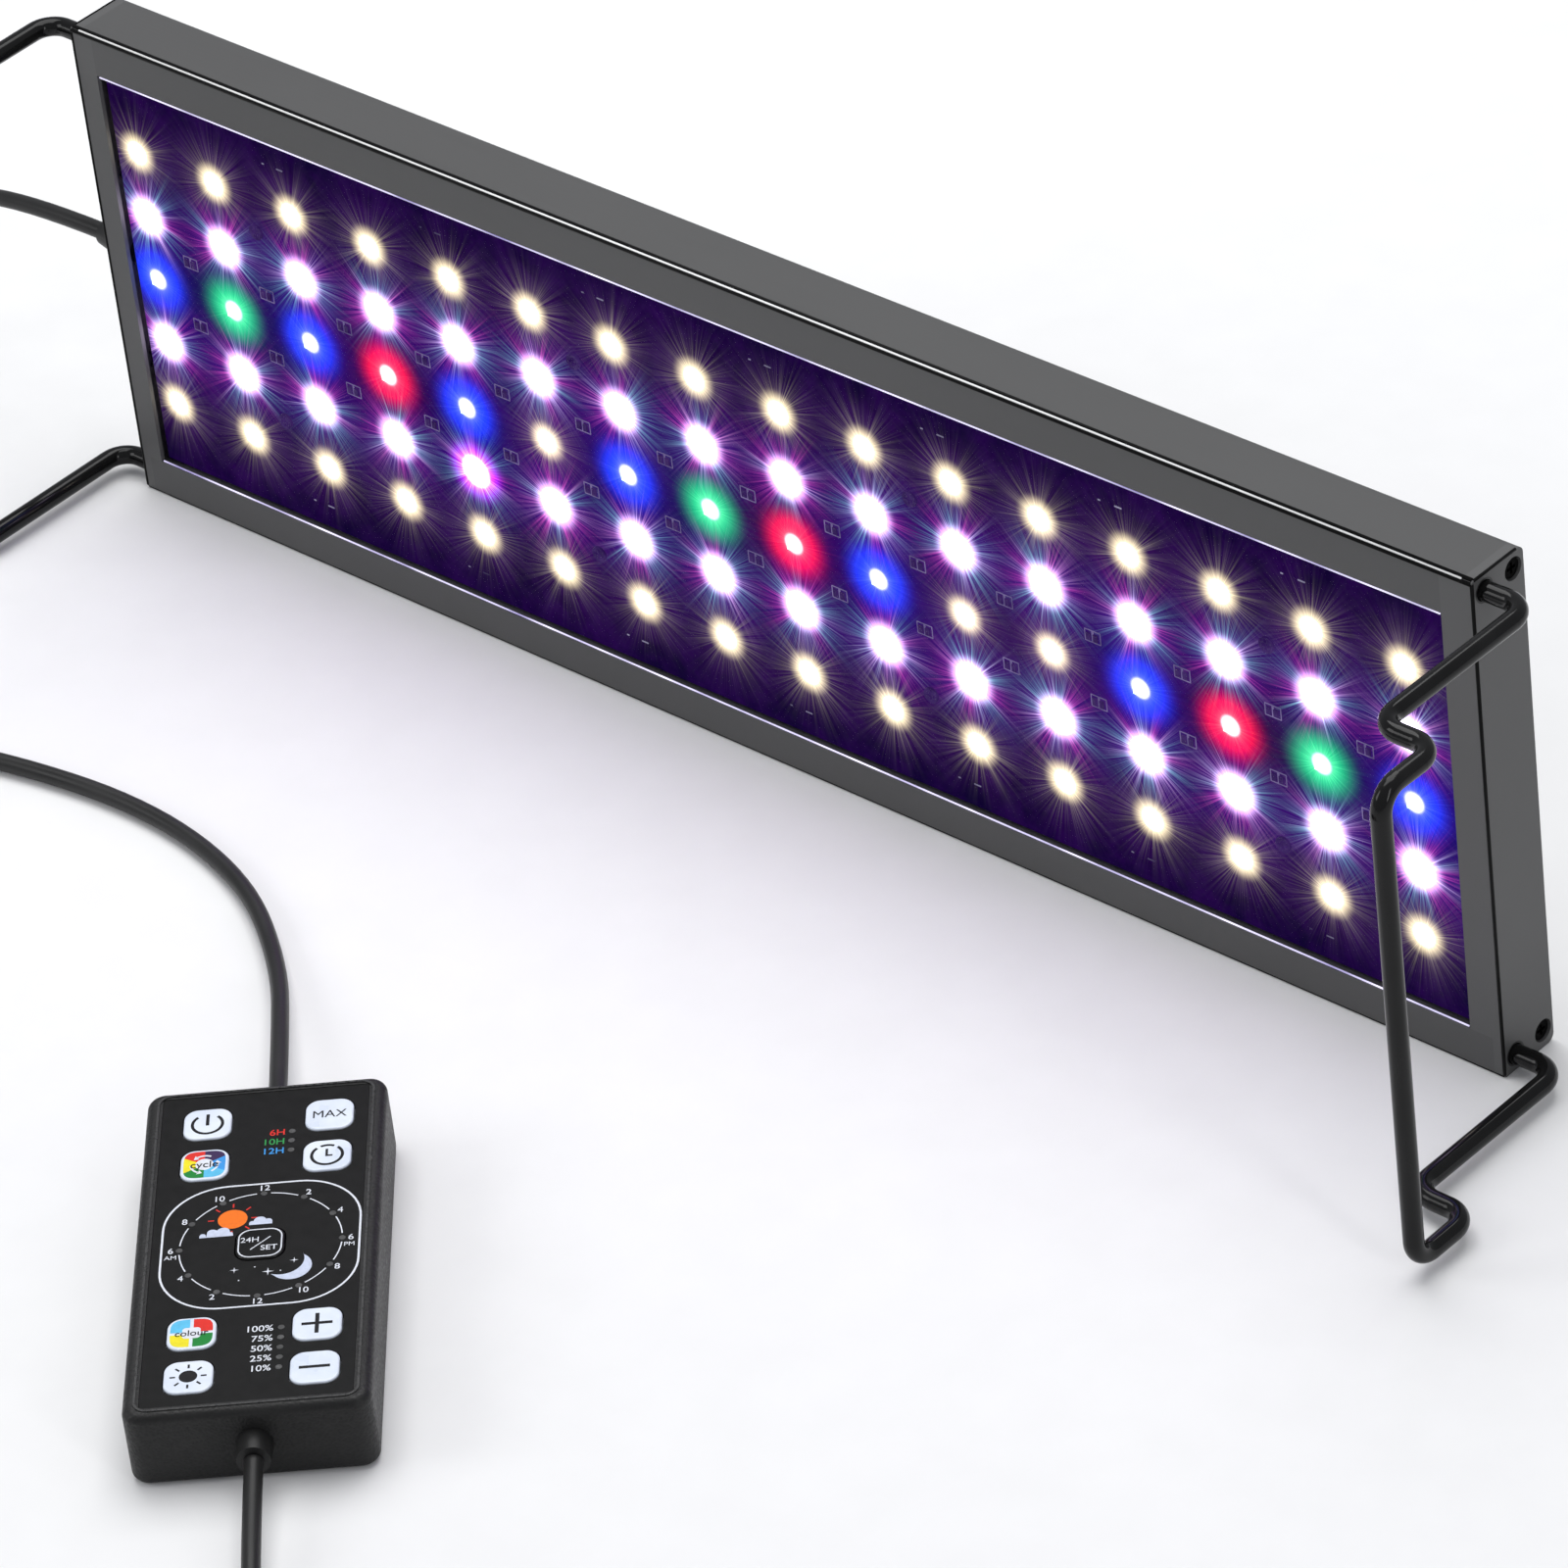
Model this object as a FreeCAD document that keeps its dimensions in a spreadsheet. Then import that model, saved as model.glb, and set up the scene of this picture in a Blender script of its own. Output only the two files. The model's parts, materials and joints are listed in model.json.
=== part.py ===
import FreeCAD, Part

import math
import os
import re

import Sketcher

# An LED aquarium light, standing on one long side: X runs along the light, -Y is the way it shines,
# and Z is up, across its width. The origin is the middle of the long side that it stands on.

SIZES = {
    # light body
    "body_length": 450,
    "body_width": 140,
    "body_depth": 18.5,
    "back_wall": 2,
    "side_wall": 1.6,
    "lip_thick": 1.2,
    "lip_top": 12,
    "lip_bottom": 10.4,
    "edge_round": 2.2,
    "front_round": 0.8,
    "corner_block": 8.4,
    "cap_thick": 3,
    "cap_lip_left": 7.2,
    "cap_lip_right": 9.6,
    # slide channels for the bracket, and ports for the end-cap screws
    "slide_edge": 4.6,
    "slide_front": 4.3,
    "slide_bore": 5.6,
    "bush_bore": 5.4,
    "bush_outer": 6.4,
    "port_edge": 4.7,
    "port_back": 3.8,
    "port_bore": 2.9,
    "recess_bore": 6,
    "recess_deep": 2,
    # lens, gasket and board, measured back from the front face
    "gasket_thick": 0.3,
    "lens_thick": 1.5,
    "lens_margin": 1.4,
    "board_front": 3.8,
    "board_thick": 1.6,
    "rib_height": 38.3,
    "rib_spacing": 57.2,
    "rib_wide": 5,
    "rib_slot": 2.6,
    "groove_wide": 4,
    "groove_deep": 0.8,
    "groove_spacing": 13,
    # LED grid
    "led_first": 13.4,
    "led_pitch": 27.45,
    "led_low": 28.8,
    "led_row": 19.06,
    "led_thick": 0.7,
    # bent-wire bracket
    "rod_dia": 5,
    "rod_bend": 6,
    "bracket_leg": 115,
    "bracket_out": 12.5,
    "bracket_reach": 54,
    "bracket_step": 16.5,
    "bracket_rim": 20,
    # leads
    "cord_dia": 4.5,
    "gland_long": 11,
    "coil_mean": 25,
    # controller
    "box_wide": 56.5,
    "box_long": 120,
    "box_thick": 20,
    "box_wall": 2,
    "box_split": 10,
    "box_corner": 4.4,
    "box_edge": 2.2,
    "label_wide": 48.6,
    "label_long": 113.6,
    "label_thick": 0.4,
    "label_recess": 0.5,
    "key_size": 11.3,
    "key_round": 3.4,
    "key_gap": 0.3,
    "key_flange": 12.6,
    "key_proud": 0.3,
    "post_x": 24,
    "post_y": 55.5,
    "relief_long": 6,
}

LED_COLUMNS = 16
LED_ROWS = 5
COLOUR_ROW = "BGBRBWBGRBWWBRGB"  # the middle row: blue, green, red and warm white
VIOLET_AT = (4, 1)  # column and row of the violet one, counted from the left and from below
SIDES = {"left": -1, "right": 1}

# The controller lies on its back in front of the light. Its own x runs across it and y to its top end.
CONTROLLER_AT = FreeCAD.Vector(43.7, -238.3, 0)
CONTROLLER_TURN = 42.0
KEYS = {
    "power": (-13.4, 46.0),
    "max": (15.2, 46.0),
    "cycle": (-13.4, 30.5),
    "timer": (15.2, 30.5),
    "set_24h": (0.9, -0.5),
    "colour": (-13.4, -31.5),
    "plus": (15.2, -31.5),
    "brightness": (-13.4, -47.0),
    "minus": (15.2, -47.0),
}
HOURS_AT = (1.0, -0.5)  # a ring of twelve indicators about the middle key
HOURS_RADIUS = 18.8
HOURS = [
    (HOURS_AT[0] + HOURS_RADIUS * math.sin(math.radians(a)), HOURS_AT[1] + HOURS_RADIUS * math.cos(math.radians(a)))
    for a in range(0, 360, 30)
]
TIMERS = [(6.6, y) for y in (41.1, 37.55, 34.0)]
LEVELS = [(7.0, y) for y in (-31.4, -34.95, -38.5, -42.05, -45.6)]
INDICATORS = TIMERS + LEVELS + HOURS
CORD_AT = 0.9  # across the controller, where both leads leave it

# Routes of the two leads, from the light to the controller and from the controller to its power jack.
LIGHT_RUN = [
    (-236.0, 0.0, 70.0),
    (-268.0, 0.3, 69.3),
    (-298.0, 0.9, 60.5),
    (-317.0, 1.5, 42.0),
    (-331.0, -1.5, 20.5),
    (-341.0, -17.0, 6.2),
    (-346.0, -43.0, 2.7),
    (-344.5, -72.0, 2.6),
    (-338.0, -99.0, 2.5),
    (-335.0, -123.0, 2.5),
]
LIGHT_COIL = (-310.0, -123.0)
LIGHT_COIL_TURNS = 3.25
CONTROLLER_RUN = [
    (-310.0, -148.0, 17.0),
    (-282.0, -149.0, 14.0),
    (-248.0, -146.0, 6.0),
    (-208.0, -134.5, 2.7),
    (-163.0, -120.0, 2.5),
    (-117.0, -114.5, 2.5),
    (-76.0, -123.0, 2.6),
    (-43.5, -144.5, 3.7),
    (-19.5, -168.0, 8.0),
    (0.2, -188.7, 10.0),
]
SUPPLY_RUN = [
    (88.7, -286.9, 10.0),
    (106.0, -306.0, 7.6),
    (125.5, -326.5, 3.0),
    (144.2, -347.6, 2.5),
]
SUPPLY_COIL = (162.8, -330.9)
SUPPLY_COIL_TURNS = 2.25
JACK_RUN = [
    (179.5, -349.5, 12.4),
    (194.5, -336.5, 10.6),
    (212.5, -320.0, 7.0),
    (228.5, -306.0, 6.0),
]
JACK_LONG = 30.0
JACK_DIA = 11.0

V = FreeCAD.Vector
doc = FreeCAD.newDocument("AquariumLight")
NODES = []


# ---------------------------------------------------------------- sizes and expressions

def write_sheet():
    sheet = doc.addObject("Spreadsheet::Sheet", "Sizes")
    for row, (alias, value) in enumerate(SIZES.items(), start=1):
        sheet.set(f"A{row}", alias)
        sheet.set(f"B{row}", str(value))
        sheet.setAlias(f"B{row}", alias)
    doc.recompute()


def size(alias):
    return float(doc.Sizes.get(alias))


def bind(obj, prop, expression):
    """Bind a property to the sheet. The expression names the sheet's aliases as plain words."""
    names = sorted(SIZES, key=len, reverse=True)
    pattern = r"\b(" + "|".join(names) + r")\b"
    obj.setExpression(prop, re.sub(pattern, r"Sizes.\1", str(expression)))


def node(obj, name, placement=None):
    """Mark an object as a sub-part: its Label names its file."""
    obj.Label = name
    if placement is not None:
        obj.Placement = placement
    NODES.append(obj)
    return obj


def controller_frame():
    return FreeCAD.Placement(CONTROLLER_AT, FreeCAD.Rotation(V(0, 0, 1), CONTROLLER_TURN))


# ---------------------------------------------------------------- sketch and feature helpers

def sketch_on(body, role, x="0", y="0", z="0"):
    """A sketch on one of the body's origin planes, moved by x and y in the plane and z out of it."""
    sketch = body.newObject("Sketcher::SketchObject", body.Name + "Sketch")
    plane = next(o for o in body.Origin.OriginFeatures if o.Role == role)
    sketch.AttachmentSupport = [(plane, "")]
    sketch.MapMode = "FlatFace"
    for axis, expression in (("x", x), ("y", y), ("z", z)):
        bind(sketch, "AttachmentOffset.Base." + axis, expression)
    return sketch


def add_rectangle(sketch, wide, tall):
    """A rectangle about the sketch's own origin."""
    corners = [V(-1, -1, 0), V(1, -1, 0), V(1, 1, 0), V(-1, 1, 0)]
    for i in range(4):
        sketch.addGeometry(Part.LineSegment(corners[i], corners[(i + 1) % 4]), False)
    for i in range(4):
        sketch.addConstraint(Sketcher.Constraint("Coincident", i, 2, (i + 1) % 4, 1))
        sketch.addConstraint(Sketcher.Constraint("Vertical" if i % 2 else "Horizontal", i))
    sketch.addConstraint(Sketcher.Constraint("Symmetric", 0, 1, 2, 1, -1, 1))
    for name, kind, line, expression in (("wide", "DistanceX", 0, wide), ("tall", "DistanceY", 1, tall)):
        index = sketch.addConstraint(Sketcher.Constraint(kind, line, 1, line, 2, 2.0))
        sketch.renameConstraint(index, name)
        bind(sketch, "Constraints." + name, expression)


def add_circle(sketch, diameter):
    sketch.addGeometry(Part.Circle(V(0, 0, 0), V(0, 0, 1), 1.0), False)
    sketch.addConstraint(Sketcher.Constraint("Coincident", 0, 3, -1, 1))
    index = sketch.addConstraint(Sketcher.Constraint("Diameter", 0, 2.0))
    sketch.renameConstraint(index, "across")
    bind(sketch, "Constraints.across", diameter)


def feature(body, kind, sketch, length):
    made = body.newObject("PartDesign::" + kind, body.Name + kind)
    made.Profile = sketch
    bind(made, "Length", length)
    sketch.Visibility = False
    return made


def pad_rectangle(body, role, wide, tall, length, **at):
    sketch = sketch_on(body, role, **at)
    add_rectangle(sketch, wide, tall)
    return feature(body, "Pad", sketch, length)


def pad_circle(body, role, diameter, length, **at):
    sketch = sketch_on(body, role, **at)
    add_circle(sketch, diameter)
    return feature(body, "Pad", sketch, length)


def cut_rectangle(body, role, wide, tall, length, **at):
    """A pocket from the sketch's plane back against the plane's normal."""
    sketch = sketch_on(body, role, **at)
    add_rectangle(sketch, wide, tall)
    return feature(body, "Pocket", sketch, length)


def cut_circle(body, role, diameter, length, **at):
    sketch = sketch_on(body, role, **at)
    add_circle(sketch, diameter)
    return feature(body, "Pocket", sketch, length)


def round_edges(body, kind, base, amount, wanted):
    """Fillet or chamfer the edges of base that wanted(edge) accepts."""
    doc.recompute()
    names = [f"Edge{i}" for i, edge in enumerate(base.Shape.Edges, start=1) if wanted(edge)]
    made = body.newObject("PartDesign::" + kind, body.Name + kind)
    made.Base = (base, names)
    bind(made, "Radius" if kind == "Fillet" else "Size", amount)
    return made


def upright(edge):
    """Whether an edge runs along the body's own Z."""
    a, b = (vertex.Point for vertex in edge.Vertexes) if len(edge.Vertexes) == 2 else (V(), V())
    return (b - a).Length > 1e-6 and abs((b - a).normalize().z) > 0.999


def in_plane_z(height):
    def wanted(edge):
        box = edge.BoundBox
        return abs(box.ZMin - height) < 1e-4 and abs(box.ZMax - height) < 1e-4
    return wanted


def bound_box(name, corner, sides, placement=None):
    """A Part::Box whose corner and sides are bound to the sheet."""
    box = doc.addObject("Part::Box", name)
    for prop, expression in zip(("Length", "Width", "Height"), sides):
        bind(box, prop, expression)
    for axis, expression in zip("xyz", corner):
        bind(box, "Placement.Base." + axis, expression)
    return box


def solids(name, shapes, placement=None):
    """A sub-part that is a group of like solids."""
    group = doc.addObject("Part::Feature", name)
    group.Shape = Part.makeCompound(shapes) if len(shapes) > 1 else shapes[0]
    return node(group, name, placement)


def fused(shapes):
    return shapes[0].multiFuse(shapes[1:]).removeSplitter()


# ---------------------------------------------------------------- light body

def housing():
    """The extruded body: a shallow channel, with front lips, slide channels, screw ports and ribs."""
    body = node(doc.addObject("PartDesign::Body", "Housing"), "housing")
    inner = "body_length - 2 * cap_thick"
    end = "body_length / 2 - cap_thick"
    middle = "body_width / 2"
    outer = pad_rectangle(body, "YZ_Plane", "body_depth", "body_width", inner, y=middle, z=f"-({end})")
    depth = size("body_depth") / 2

    def long_back_edge(edge):
        box = edge.BoundBox
        return box.XLength > 100 and abs(box.YMin - depth) < 1e-4
    backed = round_edges(body, "Fillet", outer, "edge_round", long_back_edge)

    def long_front_edge(edge):
        box = edge.BoundBox
        return box.XLength > 100 and abs(box.YMin + depth) < 1e-4 and box.YLength < 1e-4
    round_edges(body, "Fillet", backed, "front_round", long_front_edge)
    cut_rectangle(
        body, "YZ_Plane", "lip_thick", "body_width - lip_top - lip_bottom", inner,
        x="(lip_thick - body_depth) / 2", y="(body_width - lip_top + lip_bottom) / 2", z=end,
    )
    cut_rectangle(
        body, "YZ_Plane", "body_depth - back_wall - lip_thick", "body_width - 2 * corner_block", inner,
        x="(lip_thick - back_wall) / 2", y=middle, z=end,
    )
    ribs(body, inner, end)
    for low in (True, False):
        mirror = (lambda z: z) if low else (lambda z: f"body_width - ({z})")
        cut_rectangle(
            body, "YZ_Plane", "3", "corner_block - side_wall", inner,
            x="0", y=mirror("(corner_block + side_wall) / 2"), z=end,
        )
        cut_circle(
            body, "YZ_Plane", "slide_bore", inner,
            x="slide_front - body_depth / 2", y=mirror("slide_edge"), z=end,
        )
        cut_circle(
            body, "YZ_Plane", "port_bore", inner,
            x="body_depth / 2 - port_back", y=mirror("port_edge"), z=end,
        )
    for side, lip in (("left", "cap_lip_left"), ("right", "cap_lip_right")):
        top = end if side == "right" else f"{lip} - body_length / 2"
        cut_rectangle(
            body, "YZ_Plane", "lip_thick", "lip_top", f"{lip} - cap_thick",
            x="(lip_thick - body_depth) / 2", y="body_width - lip_top / 2", z=top,
        )


def ribs(body, inner, end):
    """Two ribs that carry the board, each with a slot for its screws, and shallow grooves outside."""
    tall = "body_depth - back_wall - board_front - board_thick"
    from_front = "body_depth / 2 - back_wall - (body_depth - back_wall - board_front - board_thick) / 2"
    for height in ("rib_height", "rib_height + rib_spacing"):
        pad_rectangle(
            body, "YZ_Plane", tall + " + 0.4", "rib_wide", inner,
            x=from_front + " + 0.2", y=height, z=f"-({end})",
        )
        cut_rectangle(
            body, "YZ_Plane", "6", "rib_slot", inner,
            x="board_front + board_thick + 3 - body_depth / 2", y=height, z=end,
        )
    groove = cut_rectangle(
        body, "YZ_Plane", "groove_deep", "groove_wide", inner,
        x="(body_depth - groove_deep) / 2", y="body_width / 2 - 4 * groove_spacing", z=end,
    )
    pattern = body.newObject("PartDesign::LinearPattern", "Grooves")
    pattern.Originals = [groove]
    pattern.Direction = (groove.Profile[0], ["V_Axis"])
    bind(pattern, "Length", "8 * groove_spacing")
    pattern.Occurrences = 9
    body.Tip = pattern


def end_cap(side):
    """An end plate with a lip that closes the end of the window, and its wire and screw holes."""
    right = side == "right"
    body = node(doc.addObject("PartDesign::Body", side.title() + "Cap"), f"end_cap_{side}")
    lip = f"cap_lip_{side}"
    start = "body_length / 2 - cap_thick" if right else "-body_length / 2"
    finish = start + " + cap_thick"
    plate = pad_rectangle(
        body, "YZ_Plane", "body_depth", "body_width", "cap_thick", y="body_width / 2", z=start
    )
    depth = size("body_depth") / 2

    def back_corner(edge):
        box = edge.BoundBox
        return box.XLength > 1 and box.YLength < 1e-6 and abs(box.YMin - depth) < 1e-4
    round_edges(body, "Fillet", plate, "edge_round", back_corner)
    lip_from = f"body_length / 2 - {lip}" if right else "cap_thick - body_length / 2"
    lipped = pad_rectangle(
        body, "YZ_Plane", "lip_thick", "body_width - lip_bottom", f"{lip} - cap_thick",
        x="(lip_thick - body_depth) / 2", y="(body_width + lip_bottom) / 2", z=lip_from,
    )
    top = size("body_width")

    def front_corner(edge):
        box = edge.BoundBox
        flat = box.XLength > 1 and box.YLength < 1e-6 and abs(box.YMin + depth) < 1e-4
        return flat and box.ZLength < 1e-6 and (box.ZMin < 1e-4 or box.ZMax > top - 1e-4)
    round_edges(body, "Fillet", lipped, "front_round", front_corner)
    outside = finish if right else start + " + recess_deep"
    for mirror in (lambda z: z, lambda z: f"body_width - ({z})"):
        cut_circle(
            body, "YZ_Plane", "bush_outer", "cap_thick",
            x="slide_front - body_depth / 2", y=mirror("slide_edge"), z=finish,
        )
        port = {"x": "body_depth / 2 - port_back", "y": mirror("port_edge")}
        cut_circle(body, "YZ_Plane", "recess_bore", "recess_deep", z=outside, **port)
        cut_circle(body, "YZ_Plane", "port_bore + 0.5", "cap_thick", z=finish, **port)
    if not right:
        cut_circle(body, "YZ_Plane", "7", "cap_thick", x="0", y="body_width / 2", z=finish)


def end_corners():
    """Y and Z of the slide channels and of the screw ports, low then high."""
    width = size("body_width")
    slide_y = size("slide_front") - size("body_depth") / 2
    port_y = size("body_depth") / 2 - size("port_back")
    slides = [(slide_y, z) for z in (size("slide_edge"), width - size("slide_edge"))]
    ports = [(port_y, z) for z in (size("port_edge"), width - size("port_edge"))]
    return slides, ports


def wire_bushes():
    slides, _ = end_corners()
    thick = size("cap_thick")
    shapes = []
    for sign in SIDES.values():
        start = size("body_length") / 2 - thick if sign > 0 else -size("body_length") / 2
        for y, z in slides:
            ring = Part.makeCylinder(size("bush_outer") / 2, thick, V(start, y, z), V(1, 0, 0))
            bore = Part.makeCylinder(size("bush_bore") / 2, thick, V(start, y, z), V(1, 0, 0))
            shapes.append(ring.cut(bore))
    solids("wire_bushes", shapes)


def end_cap_screws():
    """Countersunk-in-recess screws: head, shank and a cross slot."""
    _, ports = end_corners()
    head_dia, head_thick, shank = 5.2, 1.4, 12.0
    shapes = []
    for sign in SIDES.values():
        seat = sign * (size("body_length") / 2 - size("recess_deep"))
        for y, z in ports:
            out = V(sign, 0, 0)
            head = Part.makeCylinder(head_dia / 2, head_thick, V(seat, y, z), out)
            shaft = Part.makeCylinder(size("port_bore") / 2 - 0.1, shank, V(seat, y, z), V(-sign, 0, 0))
            across = [
                Part.makeBox(1.2, a, b, V(min(0, sign) * 1.2 + seat + sign * 0.7, y - a / 2, z - b / 2))
                for a, b in ((0.8, 3.0), (3.0, 0.8))
            ]
            shapes.append(fused([head, shaft]).cut(fused(across)))
    solids("end_cap_screws", shapes)


def lens_and_gasket():
    front = "-body_depth / 2"
    low = "lip_bottom - lens_margin"
    tall = "body_width - lip_top - lip_bottom + 2 * lens_margin"
    long = "body_length - 2 * cap_thick - 2"
    lens = bound_box(
        "Lens", (f"-({long}) / 2", f"{front} + lip_thick + gasket_thick", low), (long, "lens_thick", tall)
    )
    node(lens, "cover_lens")
    rim = bound_box("GasketRim", (f"-({long}) / 2", f"{front} + lip_thick", low), (long, "gasket_thick", tall))
    hole = bound_box(
        "GasketHole",
        ("cap_lip_left - 0.4 - body_length / 2", f"{front} + lip_thick - 1", "lip_bottom - 0.5"),
        (
            "body_length - cap_lip_left - cap_lip_right + 0.8",
            "gasket_thick + 2",
            "body_width - lip_top - lip_bottom + 1",
        ),
    )
    cut = doc.addObject("Part::Cut", "Gasket")
    cut.Base, cut.Tool = rim, hole
    node(cut, "lens_gasket")


def led_board():
    """The board that carries the LEDs, drilled for its screws."""
    body = node(doc.addObject("PartDesign::Body", "LedBoard"), "led_board")
    pad_rectangle(
        body, "XZ_Plane", "body_length - 2 * cap_thick - 6", "body_width - 2 * corner_block - 2",
        "board_thick", y="body_width / 2", z="body_depth / 2 - board_front - board_thick",
    )
    for x, z in board_screw_places():
        cut_circle(
            body, "XZ_Plane", "2.6", "board_thick + 2",
            x=str(x), y=str(z), z="body_depth / 2 - board_front + 1",
        )


def board_screw_places():
    first = size("led_first") - size("body_length") / 2
    heights = (size("rib_height"), size("rib_height") + size("rib_spacing"))
    return [(first + size("led_pitch") * (c + 1.5), z) for c in (0, 4, 8, 12) for z in heights]


def board_screws():
    face = size("board_front") - size("body_depth") / 2
    shapes = []
    for x, z in board_screw_places():
        head = Part.makeCylinder(2.2, 0.6, V(x, face, z), V(0, -1, 0))
        shaft = Part.makeCylinder(1.2, 6.5, V(x, face, z), V(0, 1, 0))
        slots = [
            Part.makeBox(a, 0.6, b, V(x - a / 2, face - 0.9, z - b / 2)) for a, b in ((0.6, 2.6), (2.6, 0.6))
        ]
        shapes.append(fused([head, shaft]).cut(fused(slots)))
    solids("board_screws", shapes)


def led_at(column, row):
    x = size("led_first") - size("body_length") / 2 + column * size("led_pitch")
    return x, size("led_low") + row * size("led_row")


def led_package(column, row, wide):
    """A square package with a shallow round cup for its phosphor."""
    x, z = led_at(column, row)
    face = size("board_front") - size("body_depth") / 2
    case = Part.makeBox(wide, size("led_thick"), wide, V(x - wide / 2, face - size("led_thick"), z - wide / 2))
    cup = Part.makeCylinder(wide * 0.4, 0.2, V(x, face - size("led_thick"), z), V(0, 1, 0))
    return case.cut(cup)


def leds():
    """Five rows: small warm white outside, large cool white next, and colours in the middle."""
    groups = {name: [] for name in ("warm_white", "cool_white", "blue", "green", "red", "violet")}
    colours = {"B": "blue", "G": "green", "R": "red", "W": "warm_white"}
    for row in range(LED_ROWS):
        for column in range(LED_COLUMNS):
            if (column, row) == VIOLET_AT:
                name, wide = "violet", 5.0
            elif row in (0, LED_ROWS - 1):
                name, wide = "warm_white", 3.5
            elif row in (1, LED_ROWS - 2):
                name, wide = "cool_white", 5.0
            else:
                name, wide = colours[COLOUR_ROW[column]], 3.5
            groups[name].append(led_package(column, row, wide))
    for name, shapes in groups.items():
        solids(f"leds_{name}", shapes)


def board_resistors():
    """Pairs of chip resistors between the columns, beside the middle row."""
    face = size("board_front") - size("body_depth") / 2
    long, wide, thick = 2.0, 1.25, 0.55
    shapes = []
    for column in range(LED_COLUMNS - 1):
        for row in (1, 2):
            x, z = led_at(column + 0.5, row + 0.5)
            for shift in (-1.1, 1.1):
                corner = V(x + shift - wide / 2, face - thick, z - long / 2)
                shapes.append(Part.makeBox(wide, thick, long, corner))
    solids("board_resistors", shapes)


def terminal_block():
    """The two-pole block behind the board that the lead is clamped in."""
    back = size("board_front") + size("board_thick") - size("body_depth") / 2
    block = Part.makeBox(12, 9, 11, V(-200, back, size("body_width") / 2 - 5.5))
    for z in (-2.6, 2.6):
        mouth = Part.makeBox(4, 3.2, 3.2, V(-200, back + 2.5, size("body_width") / 2 + z - 1.6))
        well = Part.makeCylinder(1.5, 3, V(-194, back + 9, size("body_width") / 2 + z), V(0, -1, 0))
        block = block.cut(mouth).cut(well)
    solids("terminal_block", [block])


def inner_wires():
    """The lead's two cores, from the gland to the terminal block."""
    middle = size("body_width") / 2
    mouth_y = size("board_front") + size("board_thick") - size("body_depth") / 2 + 4.1
    shapes = []
    for sign in (-1, 1):
        points = [
            (-220.4, 0, middle + 1.1 * sign),
            (-213.0, 0, middle + 1.2 * sign),
            (-205.0, mouth_y, middle + 2.6 * sign),
            (-197.0, mouth_y, middle + 2.6 * sign),
        ]
        shapes.append(tube(points, 1.7)[0])
    solids("inner_wires", shapes)


def cable_gland():
    """The flared strain relief of the lead, clamped through the left end cap."""
    end, middle = size("body_length") / 2, size("body_width") / 2
    west = V(-1, 0, 0)
    inside = Part.makeCylinder(4.6, 1.4, V(-end + size("cap_thick") + 1.4, 0, middle), west)
    neck = Part.makeCylinder(3.45, size("cap_thick") + 0.2, V(-end + size("cap_thick") + 0.1, 0, middle), west)
    flare = Part.makeCone(5.4, 3.3, size("gland_long"), V(-end, 0, middle), west)
    solids("cable_gland", [fused([inside, neck, flare])])


# ---------------------------------------------------------------- bent wire and leads

def rounded_path(points, radius=None):
    """Straight runs joined by tangent arcs. Without a radius each arc is as large as its runs allow."""
    points = [V(*p) for p in points]
    edges, radii, start = [], [], points[0]
    for before, corner, after in zip(points, points[1:], points[2:]):
        into, out = corner - before, after - corner
        half = into.getAngle(out) / 2
        reach = radius * math.tan(half) if radius else 0.45 * min(into.Length, out.Length)
        bend = reach / math.tan(half)
        into.normalize()
        out.normalize()
        inward = (out - into).normalize()
        first, last = corner - into * reach, corner + out * reach
        crown = corner + inward * (bend / math.cos(half) - bend)
        if (first - start).Length > 1e-6:
            edges.append(Part.LineSegment(start, first).toShape())
        edges.append(Part.Arc(first, crown, last).toShape())
        radii.append(bend)
        start = last
    edges.append(Part.LineSegment(start, points[-1]).toShape())
    return Part.Wire(edges), radii


def tube(points, diameter, radius=None):
    path, radii = rounded_path(points, radius)
    profile = Part.Wire(Part.Circle(V(*points[0]), V(*points[1]) - V(*points[0]), diameter / 2).toShape())
    solid = path.makePipeShell([profile], True, True)
    expected = math.pi * diameter**2 / 4 * path.Length
    if abs(solid.Volume / expected - 1) > 0.01:
        raise RuntimeError(f"tube volume {solid.Volume:.1f}, expected {expected:.1f}")
    return solid, path.Length, radii


def bracket_wire(side):
    """One rod bent into a rim hook: two legs slide in the housing, the arms step out over the rim."""
    sign = SIDES[side]
    (y, low), (_, high) = end_corners()[0]
    end = size("body_length") / 2
    arm_x = end + size("bracket_out")
    rim_x = arm_x + size("bracket_step")
    arm_y = y - size("bracket_reach")
    rim_y = arm_y - size("bracket_rim")
    leg_x = end - size("bracket_leg")
    upper = [(leg_x, y), (arm_x, y), (arm_x, arm_y), (rim_x, arm_y), (rim_x, rim_y)]
    points = [(sign * x, y, high) for x, y in upper] + [(sign * x, y, low) for x, y in reversed(upper)]
    solid, length, _ = tube(points, size("rod_dia"), size("rod_bend"))
    print(f"bracket_wire_{side}: {length:.0f} mm of rod")
    solids(f"bracket_wire_{side}", [solid])


def lead(name, points):
    solid, length, radii = tube(points, size("cord_dia"))
    runs = [(V(*b) - V(*a)).Length for a, b in zip(points, points[1:])]
    print(f"{name}: {length:.0f} mm; radii {[round(r) for r in radii]}; runs {[round(r) for r in runs]}")
    solids(name, [solid])
    return length


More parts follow.
